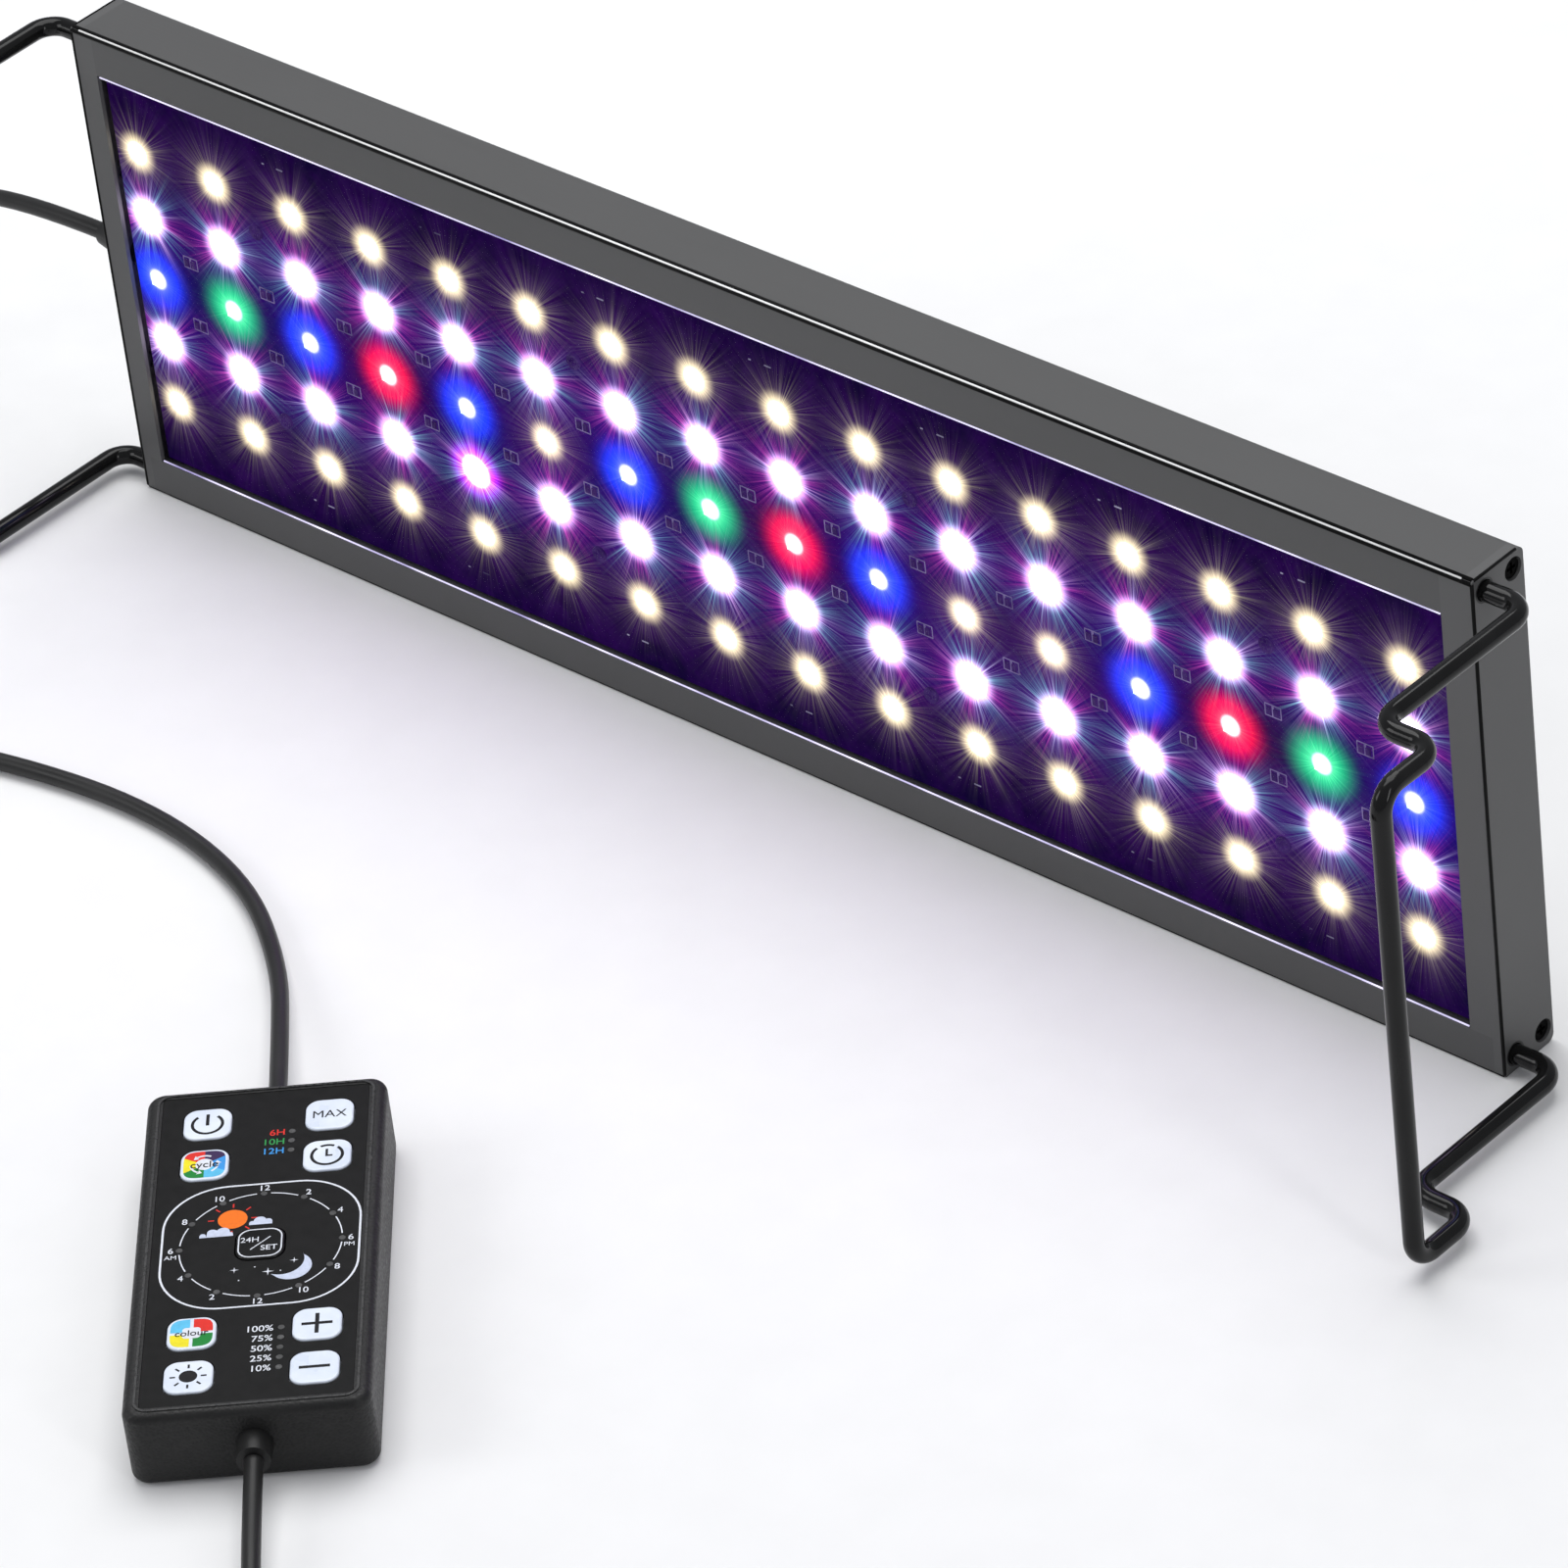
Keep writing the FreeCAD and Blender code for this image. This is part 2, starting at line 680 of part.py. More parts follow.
def coil(name, centre, turns):
    """The outer shape of a lead wound in a stack of turns."""
    mean, dia = size("coil_mean"), size("cord_dia")
    height = 2.4 + turns * dia + dia / 2
    outer = Part.makeCylinder(mean + dia / 2, height, V(*centre, 0))
    inner = Part.makeCylinder(mean - dia / 2, height, V(*centre, 0))
    solids(name, [outer.cut(inner)])
    length = 2 * math.pi * mean * turns
    print(f"{name}: {length:.0f} mm in {turns} turns")
    return length


def power_jack():
    """The barrel socket on the end of the supply lead."""
    before, last = V(*JACK_RUN[-2]), V(*JACK_RUN[-1])
    along = V(last.x - before.x, last.y - before.y, 0).normalize()
    grip = Part.makeCone(3.2, JACK_DIA / 2, 9, last, along)
    case = Part.makeCylinder(JACK_DIA / 2, JACK_LONG - 9, last + along * 9, along)
    mouth = Part.makeCylinder(3.6, 11, last + along * (JACK_LONG - 11), along)
    solids("power_jack_body", [fused([grip, case]).cut(mouth)])
    sleeve = Part.makeCylinder(3.4, 10.2, last + along * (JACK_LONG - 10.8), along)
    bore = Part.makeCylinder(2.8, 9.2, last + along * (JACK_LONG - 9.8), along)
    pin = Part.makeCylinder(1.05, 8.4, last + along * (JACK_LONG - 9.8), along)
    solids("power_jack_contacts", [sleeve.cut(bore).fuse(pin)])


# ---------------------------------------------------------------- controller

def controller_windows(body, role_z, deep, gap):
    """Cut the key holes and the indicator holes down from role_z."""
    for x, y in KEYS.values():
        hole = f"key_size + 2 * {gap}"
        cut = cut_rectangle(body, "XY_Plane", hole, hole, deep, x=str(x), y=str(y), z=role_z)
    half = size("key_size") / 2 + size("key_gap")

    def key_corner(edge):
        box = edge.BoundBox
        return upright(edge) and any(
            abs(abs(box.XMin - x) - half) < 1e-3 and abs(abs(box.YMin - y) - half) < 1e-3 for x, y in KEYS.values()
        )
    cut = round_edges(body, "Fillet", cut, "key_round + key_gap", key_corner)
    for x, y in INDICATORS:
        cut = cut_circle(body, "XY_Plane", "1.8", deep, x=str(x), y=str(y), z=role_z)
    return cut


def controller_top_shell():
    body = node(doc.addObject("PartDesign::Body", "TopShell"), "controller_top_shell", controller_frame())
    block = pad_rectangle(
        body, "XY_Plane", "box_wide", "box_long", "box_thick - box_split", z="box_split"
    )
    rounded = round_edges(body, "Fillet", block, "box_corner", upright)
    round_edges(body, "Fillet", rounded, "box_edge", in_plane_z(size("box_thick")))
    cut_rectangle(
        body, "XY_Plane", "box_wide - 2 * box_wall", "box_long - 2 * box_wall",
        "box_thick - box_split - box_wall", z="box_thick - box_wall",
    )
    cut_rectangle(body, "XY_Plane", "label_wide", "label_long", "label_recess", z="box_thick")
    for x in ("-post_x", "post_x"):
        for y in ("-post_y", "post_y"):
            pad_circle(body, "XY_Plane", "4.4", "box_thick - box_split - box_wall", x=x, y=y, z="box_split")
            cut_circle(body, "XY_Plane", "2", "6", x=x, y=y, z="box_split + 6")
    controller_windows(body, "box_thick", "box_wall", "key_gap")
    cord_notches(body)


def controller_bottom_shell():
    body = node(doc.addObject("PartDesign::Body", "BottomShell"), "controller_bottom_shell", controller_frame())
    block = pad_rectangle(body, "XY_Plane", "box_wide", "box_long", "box_split")
    rounded = round_edges(body, "Fillet", block, "box_corner", upright)
    round_edges(body, "Fillet", rounded, "box_edge", in_plane_z(0.0))
    cut_rectangle(
        body, "XY_Plane", "box_wide - 2 * box_wall", "box_long - 2 * box_wall", "box_split", z="box_split + box_wall"
    )
    for x in ("-post_x", "post_x"):
        for y in ("-post_y", "post_y"):
            pad_circle(body, "XY_Plane", "4.4", "box_split - 0.2", x=x, y=y)
            cut_circle(body, "XY_Plane", "2.4", "box_split + 1", x=x, y=y, z="box_split + 0.5")
            cut_circle(body, "XY_Plane", "4", "4", x=x, y=y, z="2")
    cord_notches(body)


def cord_notches(body):
    """The round holes at both ends, half in each shell, that the strain reliefs sit in."""
    for y in ("box_wall - box_long / 2", "box_long / 2"):
        cut_back = f"-({y})" if y == "box_long / 2" else "box_long / 2 - box_wall"
        sketch = sketch_on(body, "XZ_Plane", x=str(CORD_AT), y="box_split", z=f"{cut_back} + box_wall")
        add_circle(sketch, "6.6")
        feature(body, "Pocket", sketch, "box_wall")


def controller_label():
    body = node(doc.addObject("PartDesign::Body", "FaceLabel"), "controller_face_label", controller_frame())
    top = "box_thick - label_recess + label_thick"
    pad_rectangle(
        body, "XY_Plane", "label_wide - 0.2", "label_long - 0.2", "label_thick", z="box_thick - label_recess"
    )
    controller_windows(body, top, "label_thick", "key_gap")


def controller_key(name):
    """A key cap with rounded corners, and the flange that keeps it under the shell."""
    x, y = KEYS[name]
    place = {"x": str(x), "y": str(y)}
    body = node(doc.addObject("PartDesign::Body", "Key" + name.title()), f"button_{name}", controller_frame())
    foot = "box_thick - box_wall - key_gap - 0.5"
    cap = pad_rectangle(
        body, "XY_Plane", "key_size", "key_size", "box_wall + key_gap + 0.5 + key_proud", z=foot, **place
    )
    rounded = round_edges(body, "Fillet", cap, "key_round", upright)
    round_edges(body, "Fillet", rounded, "0.5", in_plane_z(size("box_thick") + size("key_proud")))
    pad_rectangle(body, "XY_Plane", "key_flange", "key_flange", "0.5", z=foot, **place)


def controller_electronics():
    """The board with its switches, indicator chips, light pipes and other parts."""
    frame = controller_frame()
    board_low, board_top = 11.0, 12.6
    board = bound_box("ControlBoard", ("-21.5", "-52", str(board_low)), ("43", "104", str(board_top - board_low)))
    group = doc.addObject("Part::Compound", "ControlBoardPart")
    group.Links = [board]
    node(group, "controller_board", frame)
    switches, chips, pipes = [], [], []
    for x, y in KEYS.values():
        case = Part.makeBox(6, 6, 2.9, V(x - 3, y - 3, board_top))
        plunger = Part.makeCylinder(1.7, 0.7, V(x, y, board_top + 2.9))
        switches.append(case.fuse(plunger))
    for x, y in INDICATORS:
        chips.append(Part.makeBox(1.6, 1.0, 0.6, V(x - 0.8, y - 0.5, board_top)))
        roof = size("box_thick") - size("label_recess") + size("label_thick")
        pipes.append(Part.makeCylinder(0.8, roof - board_top - 0.7, V(x, y, board_top + 0.7)))
    solids("tact_switches", switches, frame)
    solids("indicator_leds", chips, frame)
    solids("indicator_light_pipes", pipes, frame)
    parts = [
        Part.makeBox(10, 10, 1.4, V(-5, 5, board_top)),
        Part.makeBox(6, 5, 1.6, V(-16, 12, board_top)),
        Part.makeBox(6, 5, 1.6, V(12.5, 12, board_top)),
        Part.makeBox(10, 3.6, 2.6, V(-5, -14, board_top)),
        Part.makeCylinder(4, 7.5, V(-12, 10, board_low), V(0, 0, -1)),
        Part.makeCylinder(4, 7.5, V(12, 10, board_low), V(0, 0, -1)),
        Part.makeBox(12, 12, 5, V(-6, -30, board_low - 5)),
    ]
    solids("controller_components", parts, frame)


def controller_screws():
    shapes = []
    for x in (-size("post_x"), size("post_x")):
        for y in (-size("post_y"), size("post_y")):
            head = Part.makeCylinder(1.85, 1.2, V(x, y, 0.7))
            shaft = Part.makeCylinder(0.95, 12.5, V(x, y, 1.9))
            slots = [Part.makeBox(a, b, 0.6, V(x - a / 2, y - b / 2, 0.6)) for a, b in ((2.2, 0.5), (0.5, 2.2))]
            shapes.append(fused([head, shaft]).cut(fused(slots)))
    solids("controller_screws", shapes, controller_frame())


def strain_relief(name, sign):
    """A short tapered relief with a neck through the shells and a flange inside them."""
    end = sign * size("box_long") / 2
    out, middle = V(0, sign, 0), size("box_split")
    wall = size("box_wall")
    inside = Part.makeCylinder(4.4, 1.5, V(CORD_AT, end - sign * (wall + 1.6), middle), out)
    neck = Part.makeCylinder(3.2, wall + 0.2, V(CORD_AT, end - sign * (wall + 0.15), middle), out)
    cone = Part.makeCone(4.35, 3.9, size("relief_long"), V(CORD_AT, end, middle), out)
    solids(name, [fused([inside, neck, cone])], controller_frame())


# ---------------------------------------------------------------- the whole part

def build():
    write_sheet()
    housing()
    for side in SIDES:
        end_cap(side)
    wire_bushes()
    end_cap_screws()
    lens_and_gasket()
    led_board()
    board_screws()
    leds()
    board_resistors()
    terminal_block()
    inner_wires()
    cable_gland()
    for side in SIDES:
        bracket_wire(side)
    controller_top_shell()
    controller_bottom_shell()
    controller_label()
    for name in KEYS:
        controller_key(name)
    controller_electronics()
    controller_screws()
    strain_relief("relief_light_lead", 1)
    strain_relief("relief_supply_lead", -1)
    light = lead("light_lead_run", LIGHT_RUN) + coil("light_lead_coil", LIGHT_COIL, LIGHT_COIL_TURNS)
    light += lead("controller_lead_run", CONTROLLER_RUN)
    supply = lead("supply_lead_run", SUPPLY_RUN) + coil("supply_lead_coil", SUPPLY_COIL, SUPPLY_COIL_TURNS)
    supply += lead("jack_lead_run", JACK_RUN)
    print(f"light lead {light:.0f} mm, supply lead {supply:.0f} mm")
    power_jack()
    doc.recompute()


def check_and_export():
    for obj in doc.Objects:
        if "Invalid" in obj.State or "Error" in obj.State:
            raise RuntimeError(f"{obj.Name} failed: {obj.State}")
    os.makedirs("parts", exist_ok=True)
    for obj in NODES:
        shape = obj.Shape
        if shape.isNull() or not shape.isValid():
            raise RuntimeError(f"{obj.Label} has no valid shape")
        print(f"{obj.Label}: {len(shape.Solids)} solids, {shape.Volume:.1f} mm3")
        shape.exportStep(f"parts/{obj.Label}.step")


build()
check_and_export()
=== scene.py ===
import json
import math

import bmesh
import bpy
from mathutils import Matrix, Vector


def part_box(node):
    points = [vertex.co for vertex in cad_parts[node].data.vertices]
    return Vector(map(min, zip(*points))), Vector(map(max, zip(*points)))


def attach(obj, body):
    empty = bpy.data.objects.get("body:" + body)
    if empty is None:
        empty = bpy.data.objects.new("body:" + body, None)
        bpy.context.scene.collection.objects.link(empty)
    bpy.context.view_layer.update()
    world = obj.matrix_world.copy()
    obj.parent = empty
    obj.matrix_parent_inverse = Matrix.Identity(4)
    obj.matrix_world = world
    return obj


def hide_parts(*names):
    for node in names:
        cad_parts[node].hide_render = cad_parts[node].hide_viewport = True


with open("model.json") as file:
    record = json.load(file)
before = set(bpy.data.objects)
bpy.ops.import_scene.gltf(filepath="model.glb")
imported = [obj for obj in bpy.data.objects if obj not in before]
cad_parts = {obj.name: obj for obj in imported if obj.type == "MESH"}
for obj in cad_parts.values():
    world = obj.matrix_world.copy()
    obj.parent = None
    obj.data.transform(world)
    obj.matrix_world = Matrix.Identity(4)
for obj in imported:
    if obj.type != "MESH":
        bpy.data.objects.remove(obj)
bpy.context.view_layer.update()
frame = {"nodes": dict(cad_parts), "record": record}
scene = bpy.context.scene

MM = 0.001

# ---------------------------------------------------------------- camera and light

CAMERA_AT = Vector((1306.7, -1282.0, 1282.9)) * MM
LOOKS_AT = Vector((-1.7, -9.25, -6.5)) * MM
CAMERA_ROLL = math.radians(-7.03)
FOCAL_MM = 207.17
SENSOR_MM = 36.0


def add_camera():
    ahead = (LOOKS_AT - CAMERA_AT).normalized()
    level = ahead.cross(Vector((0, 0, 1))).normalized()
    upright = level.cross(ahead)
    right = level * math.cos(CAMERA_ROLL) + upright * math.sin(CAMERA_ROLL)
    turned = Matrix((right, right.cross(ahead), -ahead)).transposed()
    data = bpy.data.cameras.new("camera")
    data.lens = FOCAL_MM
    data.sensor_width = SENSOR_MM
    data.clip_start = 0.05
    camera = bpy.data.objects.new("camera", data)
    camera.matrix_world = Matrix.Translation(CAMERA_AT) @ turned.to_4x4()
    scene.collection.objects.link(camera)
    scene.camera = camera


def add_light(name, at, towards, across, along, power):
    """A soft rectangular lamp: sizes in metres, power in watts."""
    data = bpy.data.lights.new(name, "AREA")
    data.shape = "RECTANGLE"
    data.size, data.size_y = across, along
    data.energy = power
    lamp = bpy.data.objects.new(name, data)
    lamp.location = at
    lamp.rotation_euler = (Vector(towards) - Vector(at)).to_track_quat("-Z", "Y").to_euler()
    scene.collection.objects.link(lamp)


def light_the_studio():
    scene.view_settings.view_transform = "Standard"
    world = bpy.data.worlds.new("studio")
    world.use_nodes = True
    sky = world.node_tree.nodes["Background"]
    sky.inputs["Color"].default_value = (0.92, 0.94, 1.0, 1)
    sky.inputs["Strength"].default_value = 0.42
    scene.world = world
    add_light("overhead", (-0.3, 0.3, 1.7), (0, -0.05, 0), 1.5, 1.5, 26)
    add_light("front_left", (-1.3, -1.5, 1.2), (0, 0, 0.07), 0.9, 0.9, 9)
    add_light("right_strip", (1.9, -0.5, 0.9), (0.1, 0, 0.07), 0.25, 1.2, 5)


# ---------------------------------------------------------------- procedural materials

NOISE_LOW, NOISE_HIGH = 0.3, 0.7  # a noise seldom leaves this range
SCALE_SOCKET = 3  # where a vector node takes the factor of SCALE
SOCKETS = {
    "metal": "Metallic",
    "shine": "Specular IOR Level",
    "coat": "Coat Weight",
    "coat_rough": "Coat Roughness",
    "alpha": "Alpha",
    "glow": "Emission Strength",
}


class Paint:
    """One procedural material, and short calls that add nodes to it."""

    def __init__(self, name, colour=(0.5, 0.5, 0.5), rough=0.5, **constants):
        self.material = bpy.data.materials.new(name)
        self.material.use_nodes = True
        self.tree = self.material.node_tree
        self.surface = self.tree.nodes["Principled BSDF"]
        self.surface.inputs["Base Color"].default_value = (*colour, 1)
        self.surface.inputs["Roughness"].default_value = rough
        for words, value in constants.items():
            self.surface.inputs[SOCKETS[words]].default_value = value
        self.place = self.node("ShaderNodeTexCoord").outputs["Object"]

    def node(self, kind, **settings):
        made = self.tree.nodes.new(kind)
        for key, value in settings.items():
            setattr(made, key, value)
        return made

    def plug(self, value, socket):
        if isinstance(value, bpy.types.NodeSocket):
            self.tree.links.new(value, socket)
        else:
            socket.default_value = value

    def show(self, value, socket):
        self.plug(value, self.surface.inputs[socket])

    def math(self, operation, *values):
        made = self.node("ShaderNodeMath", operation=operation)
        for value, socket in zip(values, made.inputs):
            self.plug(value, socket)
        return made.outputs[0]

    def vector(self, operation, a, b):
        made = self.node("ShaderNodeVectorMath", operation=operation)
        self.plug(a, made.inputs[0])
        self.plug(b, made.inputs[SCALE_SOCKET if operation == "SCALE" else 1])
        return made.outputs["Vector"]

    def axes(self):
        made = self.node("ShaderNodeSeparateXYZ")
        self.plug(self.place, made.inputs[0])
        return made.outputs

    def noise(self, scale, detail, stretch=(1, 1, 1), at=None, uneven=0.5):
        made = self.node("ShaderNodeTexNoise")
        self.plug(self.vector("MULTIPLY", at or self.place, stretch), made.inputs["Vector"])
        made.inputs["Scale"].default_value = scale
        made.inputs["Detail"].default_value = detail
        made.inputs["Roughness"].default_value = uneven
        return made.outputs["Fac"]

    def cells(self, scale):
        made = self.node("ShaderNodeTexVoronoi", feature="SMOOTH_F1")
        self.plug(self.place, made.inputs["Vector"])
        made.inputs["Scale"].default_value = scale
        return made.outputs["Distance"]

    def span(self, value, low, high, to_low=0.0, to_high=1.0, smooth=False):
        kind = "SMOOTHSTEP" if smooth else "LINEAR"
        made = self.node("ShaderNodeMapRange", interpolation_type=kind)
        for number, socket in zip((value, low, high, to_low, to_high), made.inputs):
            self.plug(number, socket)
        return made.outputs["Result"]

    def ramp(self, factor, stops, constant=False):
        """Colour by factor. Stops are (place, colour) with three or four numbers in a colour."""
        made = self.node("ShaderNodeValToRGB")
        ramp = made.color_ramp
        ramp.interpolation = "CONSTANT" if constant else "LINEAR"
        while len(ramp.elements) < len(stops):
            ramp.elements.new(1.0)
        for element, (place, colour) in zip(ramp.elements, stops):
            element.position = place
            element.color = (*colour, 1)[:4]
        self.plug(factor, made.inputs["Fac"])
        return made.outputs

    def tint(self, factor, dark, light):
        """Colour by a noise, between two tones."""
        return self.ramp(factor, [(NOISE_LOW, dark), (NOISE_HIGH, light)])["Color"]

    def gloss(self, factor, low, high):
        """Roughness by a noise, between two values."""
        self.show(self.span(factor, NOISE_LOW, NOISE_HIGH, low, high), "Roughness")

    def emit(self, colour):
        """Show a colour as light, without sampling the surface as a lamp."""
        self.show(colour, "Emission Color")
        self.material.cycles.emission_sampling = "NONE"

    def bump(self, height, depth, strength):
        made = self.node("ShaderNodeBump")
        made.inputs["Strength"].default_value = strength
        made.inputs["Distance"].default_value = depth
        self.plug(height, made.inputs["Height"])
        self.show(made.outputs["Normal"], "Normal")


def grey(level):
    return (level, level, level)


def cast_metal(name, dark, light, rough):
    """Powder-coated aluminium: soft cloudy tone, fine drawn grain along the profile."""
    paint = Paint(name, rough=rough, shine=0.3)
    grain = paint.noise(1.0, 3, (25, 2600, 2600))
    cloud = paint.noise(14, 3)
    mixed = paint.math("MULTIPLY_ADD", grain, 0.35, paint.math("MULTIPLY", cloud, 0.65))
    paint.show(paint.tint(mixed, dark, light), "Base Color")
    paint.show(paint.span(grain, 0.2, 0.8, rough - 0.07, rough + 0.09), "Roughness")
    fine = paint.noise(2400, 2)
    paint.bump(paint.math("ADD", grain, fine), 0.00002, 0.35)
    return paint.material


def gloss_black(name, rough, bumps, depth):
    """Dipped or moulded black: almost even, with orange peel and faint rubbed patches."""
    paint = Paint(name, rough=rough, shine=0.22)
    worn = paint.noise(60, 4)
    paint.show(paint.tint(worn, grey(0.004), grey(0.008)), "Base Color")
    paint.show(paint.span(worn, 0.3, 0.75, rough - 0.04, rough + 0.06), "Roughness")
    paint.bump(paint.noise(bumps, 2), depth, 0.6)
    return paint.material


def cord_rubber():
    paint = Paint("cord_rubber", rough=0.42, shine=0.3)
    patch = paint.noise(40, 2)
    paint.show(paint.tint(patch, grey(0.010), grey(0.020)), "Base Color")
    paint.gloss(patch, 0.34, 0.5)
    paint.bump(paint.noise(1400, 3), 0.00005, 0.6)
    return paint.material


def grained_plastic():
    """Matte black moulding with a leather grain."""
    paint = Paint("controller_plastic", rough=0.5, shine=0.35)
    grain = paint.cells(1500)
    fine = paint.noise(3600, 2)
    tone = paint.noise(70, 3)
    paint.show(paint.tint(tone, grey(0.004), grey(0.009)), "Base Color")
    paint.show(paint.span(grain, 0.1, 0.7, 0.62, 0.4), "Roughness")
    paint.bump(paint.math("MULTIPLY_ADD", fine, 0.3, grain), 0.00012, 0.8)
    return paint.material


def label_film():
    """Printed overlay film: flat satin black with a faint mottle."""
    paint = Paint("label_black", rough=0.45, shine=0.12)
    mottle = paint.noise(300, 4)
    paint.show(paint.tint(mottle, grey(0.004), grey(0.009)), "Base Color")
    paint.gloss(mottle, 0.4, 0.52)
    paint.bump(paint.noise(2500, 2), 0.00001, 0.5)
    return paint.material


def key_plastic():
    paint = Paint("key_white", rough=0.3, coat=0.3, coat_rough=0.15)
    soft = paint.noise(110, 3)
    paint.show(paint.tint(soft, (0.66, 0.73, 0.86), (0.78, 0.84, 0.93)), "Base Color")
    paint.gloss(soft, 0.24, 0.36)
    paint.bump(paint.noise(1800, 2), 0.00002, 0.4)
    return paint.material


def simple(name, dark, light, rough, scale=200, depth=0.00002, **constants):
    """A small part's finish: two close tones, uneven gloss and a fine bump."""
    paint = Paint(name, rough=rough, **constants)
    uneven = paint.noise(scale, 4)
    paint.show(paint.tint(uneven, dark, light), "Base Color")
    paint.gloss(uneven, rough * 0.8, rough * 1.2)
    paint.bump(paint.noise(scale * 8, 2), depth, 0.5)
    return paint.material


def glowing(name, colour, rough, tones, noise, shine=0.5, glow=1.0):
    """A surface that gives off light between two tones, by a noise."""
    paint = Paint(name, colour, rough, glow=glow, shine=shine)
    paint.emit(paint.tint(paint.noise(*noise), *tones))
    return paint.material


def clear_lens():
    """Thin clear acrylic: only a faint tint and low gloss, so that the board shows."""
    paint = Paint("lens_clear", (0.002, 0.002, 0.006), 0.05, alpha=0.012, shine=0.05)
    paint.gloss(paint.noise(30, 2), 0.03, 0.09)
    return paint.material


# ---------------------------------------------------------------- the lit board

# the middle row's LEDs from left to right; B, G, R and W are blue, green, red and warm white,
# and C and V below are cool white and violet
COLUMN_LETTERS = "BGBRBWBGRBWWBRGB"
VIOLET_COLUMN = 4
COOL = "C" * len(COLUMN_LETTERS)
WARM = "W" * len(COLUMN_LETTERS)
WITH_VIOLET = COOL[:VIOLET_COLUMN] + "V" + COOL[VIOLET_COLUMN + 1:]
# the glow's colour beside each kind of LED, and last how far it reaches, from 0 to 1
GLOWS = {
    "B": (0.0, 0.055, 1.20, 0.84),
    "G": (0.0, 0.62, 0.18, 0.80),
    "R": (1.20, 0.0, 0.025, 0.80),
    "W": (0.90, 0.76, 0.42, 0.34),
    "C": (0.95, 0.62, 1.20, 0.34),
    "V": (0.60, 0.0, 1.20, 0.56),
}
# row by row from below: letters by column, core radius in metres, ray brightness, ray length in
# metres, and the power by which the coloured glow falls off
ROWS = [
    (WARM, 0.0029, 3.9, 0.0030, 1.5),
    (WITH_VIOLET, 0.0045, 15.0, 0.0030, 2.2),
    (COLUMN_LETTERS, 0.0026, 3.6, 0.0026, 1.7),
    (COOL, 0.0045, 15.0, 0.0030, 2.2),
    (WARM, 0.0029, 3.9, 0.0030, 1.5),
]
CORE_BLUR, CORE_PEAK = 0.0008, 1.6
CORE_WHITE = (1.0, 0.98, 1.0)
GLOW_START, GLOW_REACH, GLOW_PEAK = 0.8, 0.014, 1.25
RIM_FADE, RIM_AMOUNT = 0.0009, 0.22
HAZE_TINT, HAZE_FADE = (0.18, 0.020, 0.62), 0.0052
HAZE_WARM, HAZE_OTHER = 0.45, 0.85
# rays are a noise around each LED; a step per column and per row makes every star another one
RAY_COUNT, RAY_ROUGHNESS, RAY_POWER = 19, 0.8, 1.5
RAY_LOW, RAY_HIGH = 0.38, 0.74
COLUMN_STEP, ROW_STEP = 40.0, 3.7
HUE_COUNT = 1.6
COOL_HUES = [(0.38, (0.20, 0.50, 0.56)), (0.5, (0.66, 0.48, 0.90)), (0.62, (0.66, 0.08, 0.42))]
WARM_HUES = [(0.3, (0.62, 0.58, 0.30)), (0.7, (0.8, 0.72, 0.5))]
RAY_PALE = (0.12, 0.12, 0.12)


class Grid:
    """The LED grid, read from the CAD nodes."""

    def __init__(self):
        one_low, one_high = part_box("leds_violet")
        low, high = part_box("leds_cool_white")
        half = (one_high.x - one_low.x) / 2
        self.columns = len(COLUMN_LETTERS)
        self.first = low.x + half
        self.pitch = (high.x - low.x - 2 * half) / (self.columns - 1)
        self.row_step = (high.z - low.z - 2 * half) / 2
        self.low_row = low.z + half - self.row_step

    def row_z(self, row):
        return self.low_row + row * self.row_step


grid = Grid()


def column_glow(paint, snapped, letters):
    """The glow's colour and reach for the column whose place along X is snapped."""
    left = grid.first - grid.pitch / 2
    along = paint.math("DIVIDE", paint.math("SUBTRACT", snapped, left), grid.pitch * grid.columns)
    stops = []
    for i, letter in enumerate(letters):
        if i == 0 or letter != letters[i - 1]:
            stops.append((i / len(letters), GLOWS[letter]))
    return paint.ramp(along, stops, constant=True)


def fade_out(paint, distance, length):
    """Falls from 1 at no distance to 1/e at length."""
    return paint.math("EXPONENT", paint.math("DIVIDE", distance, -length))


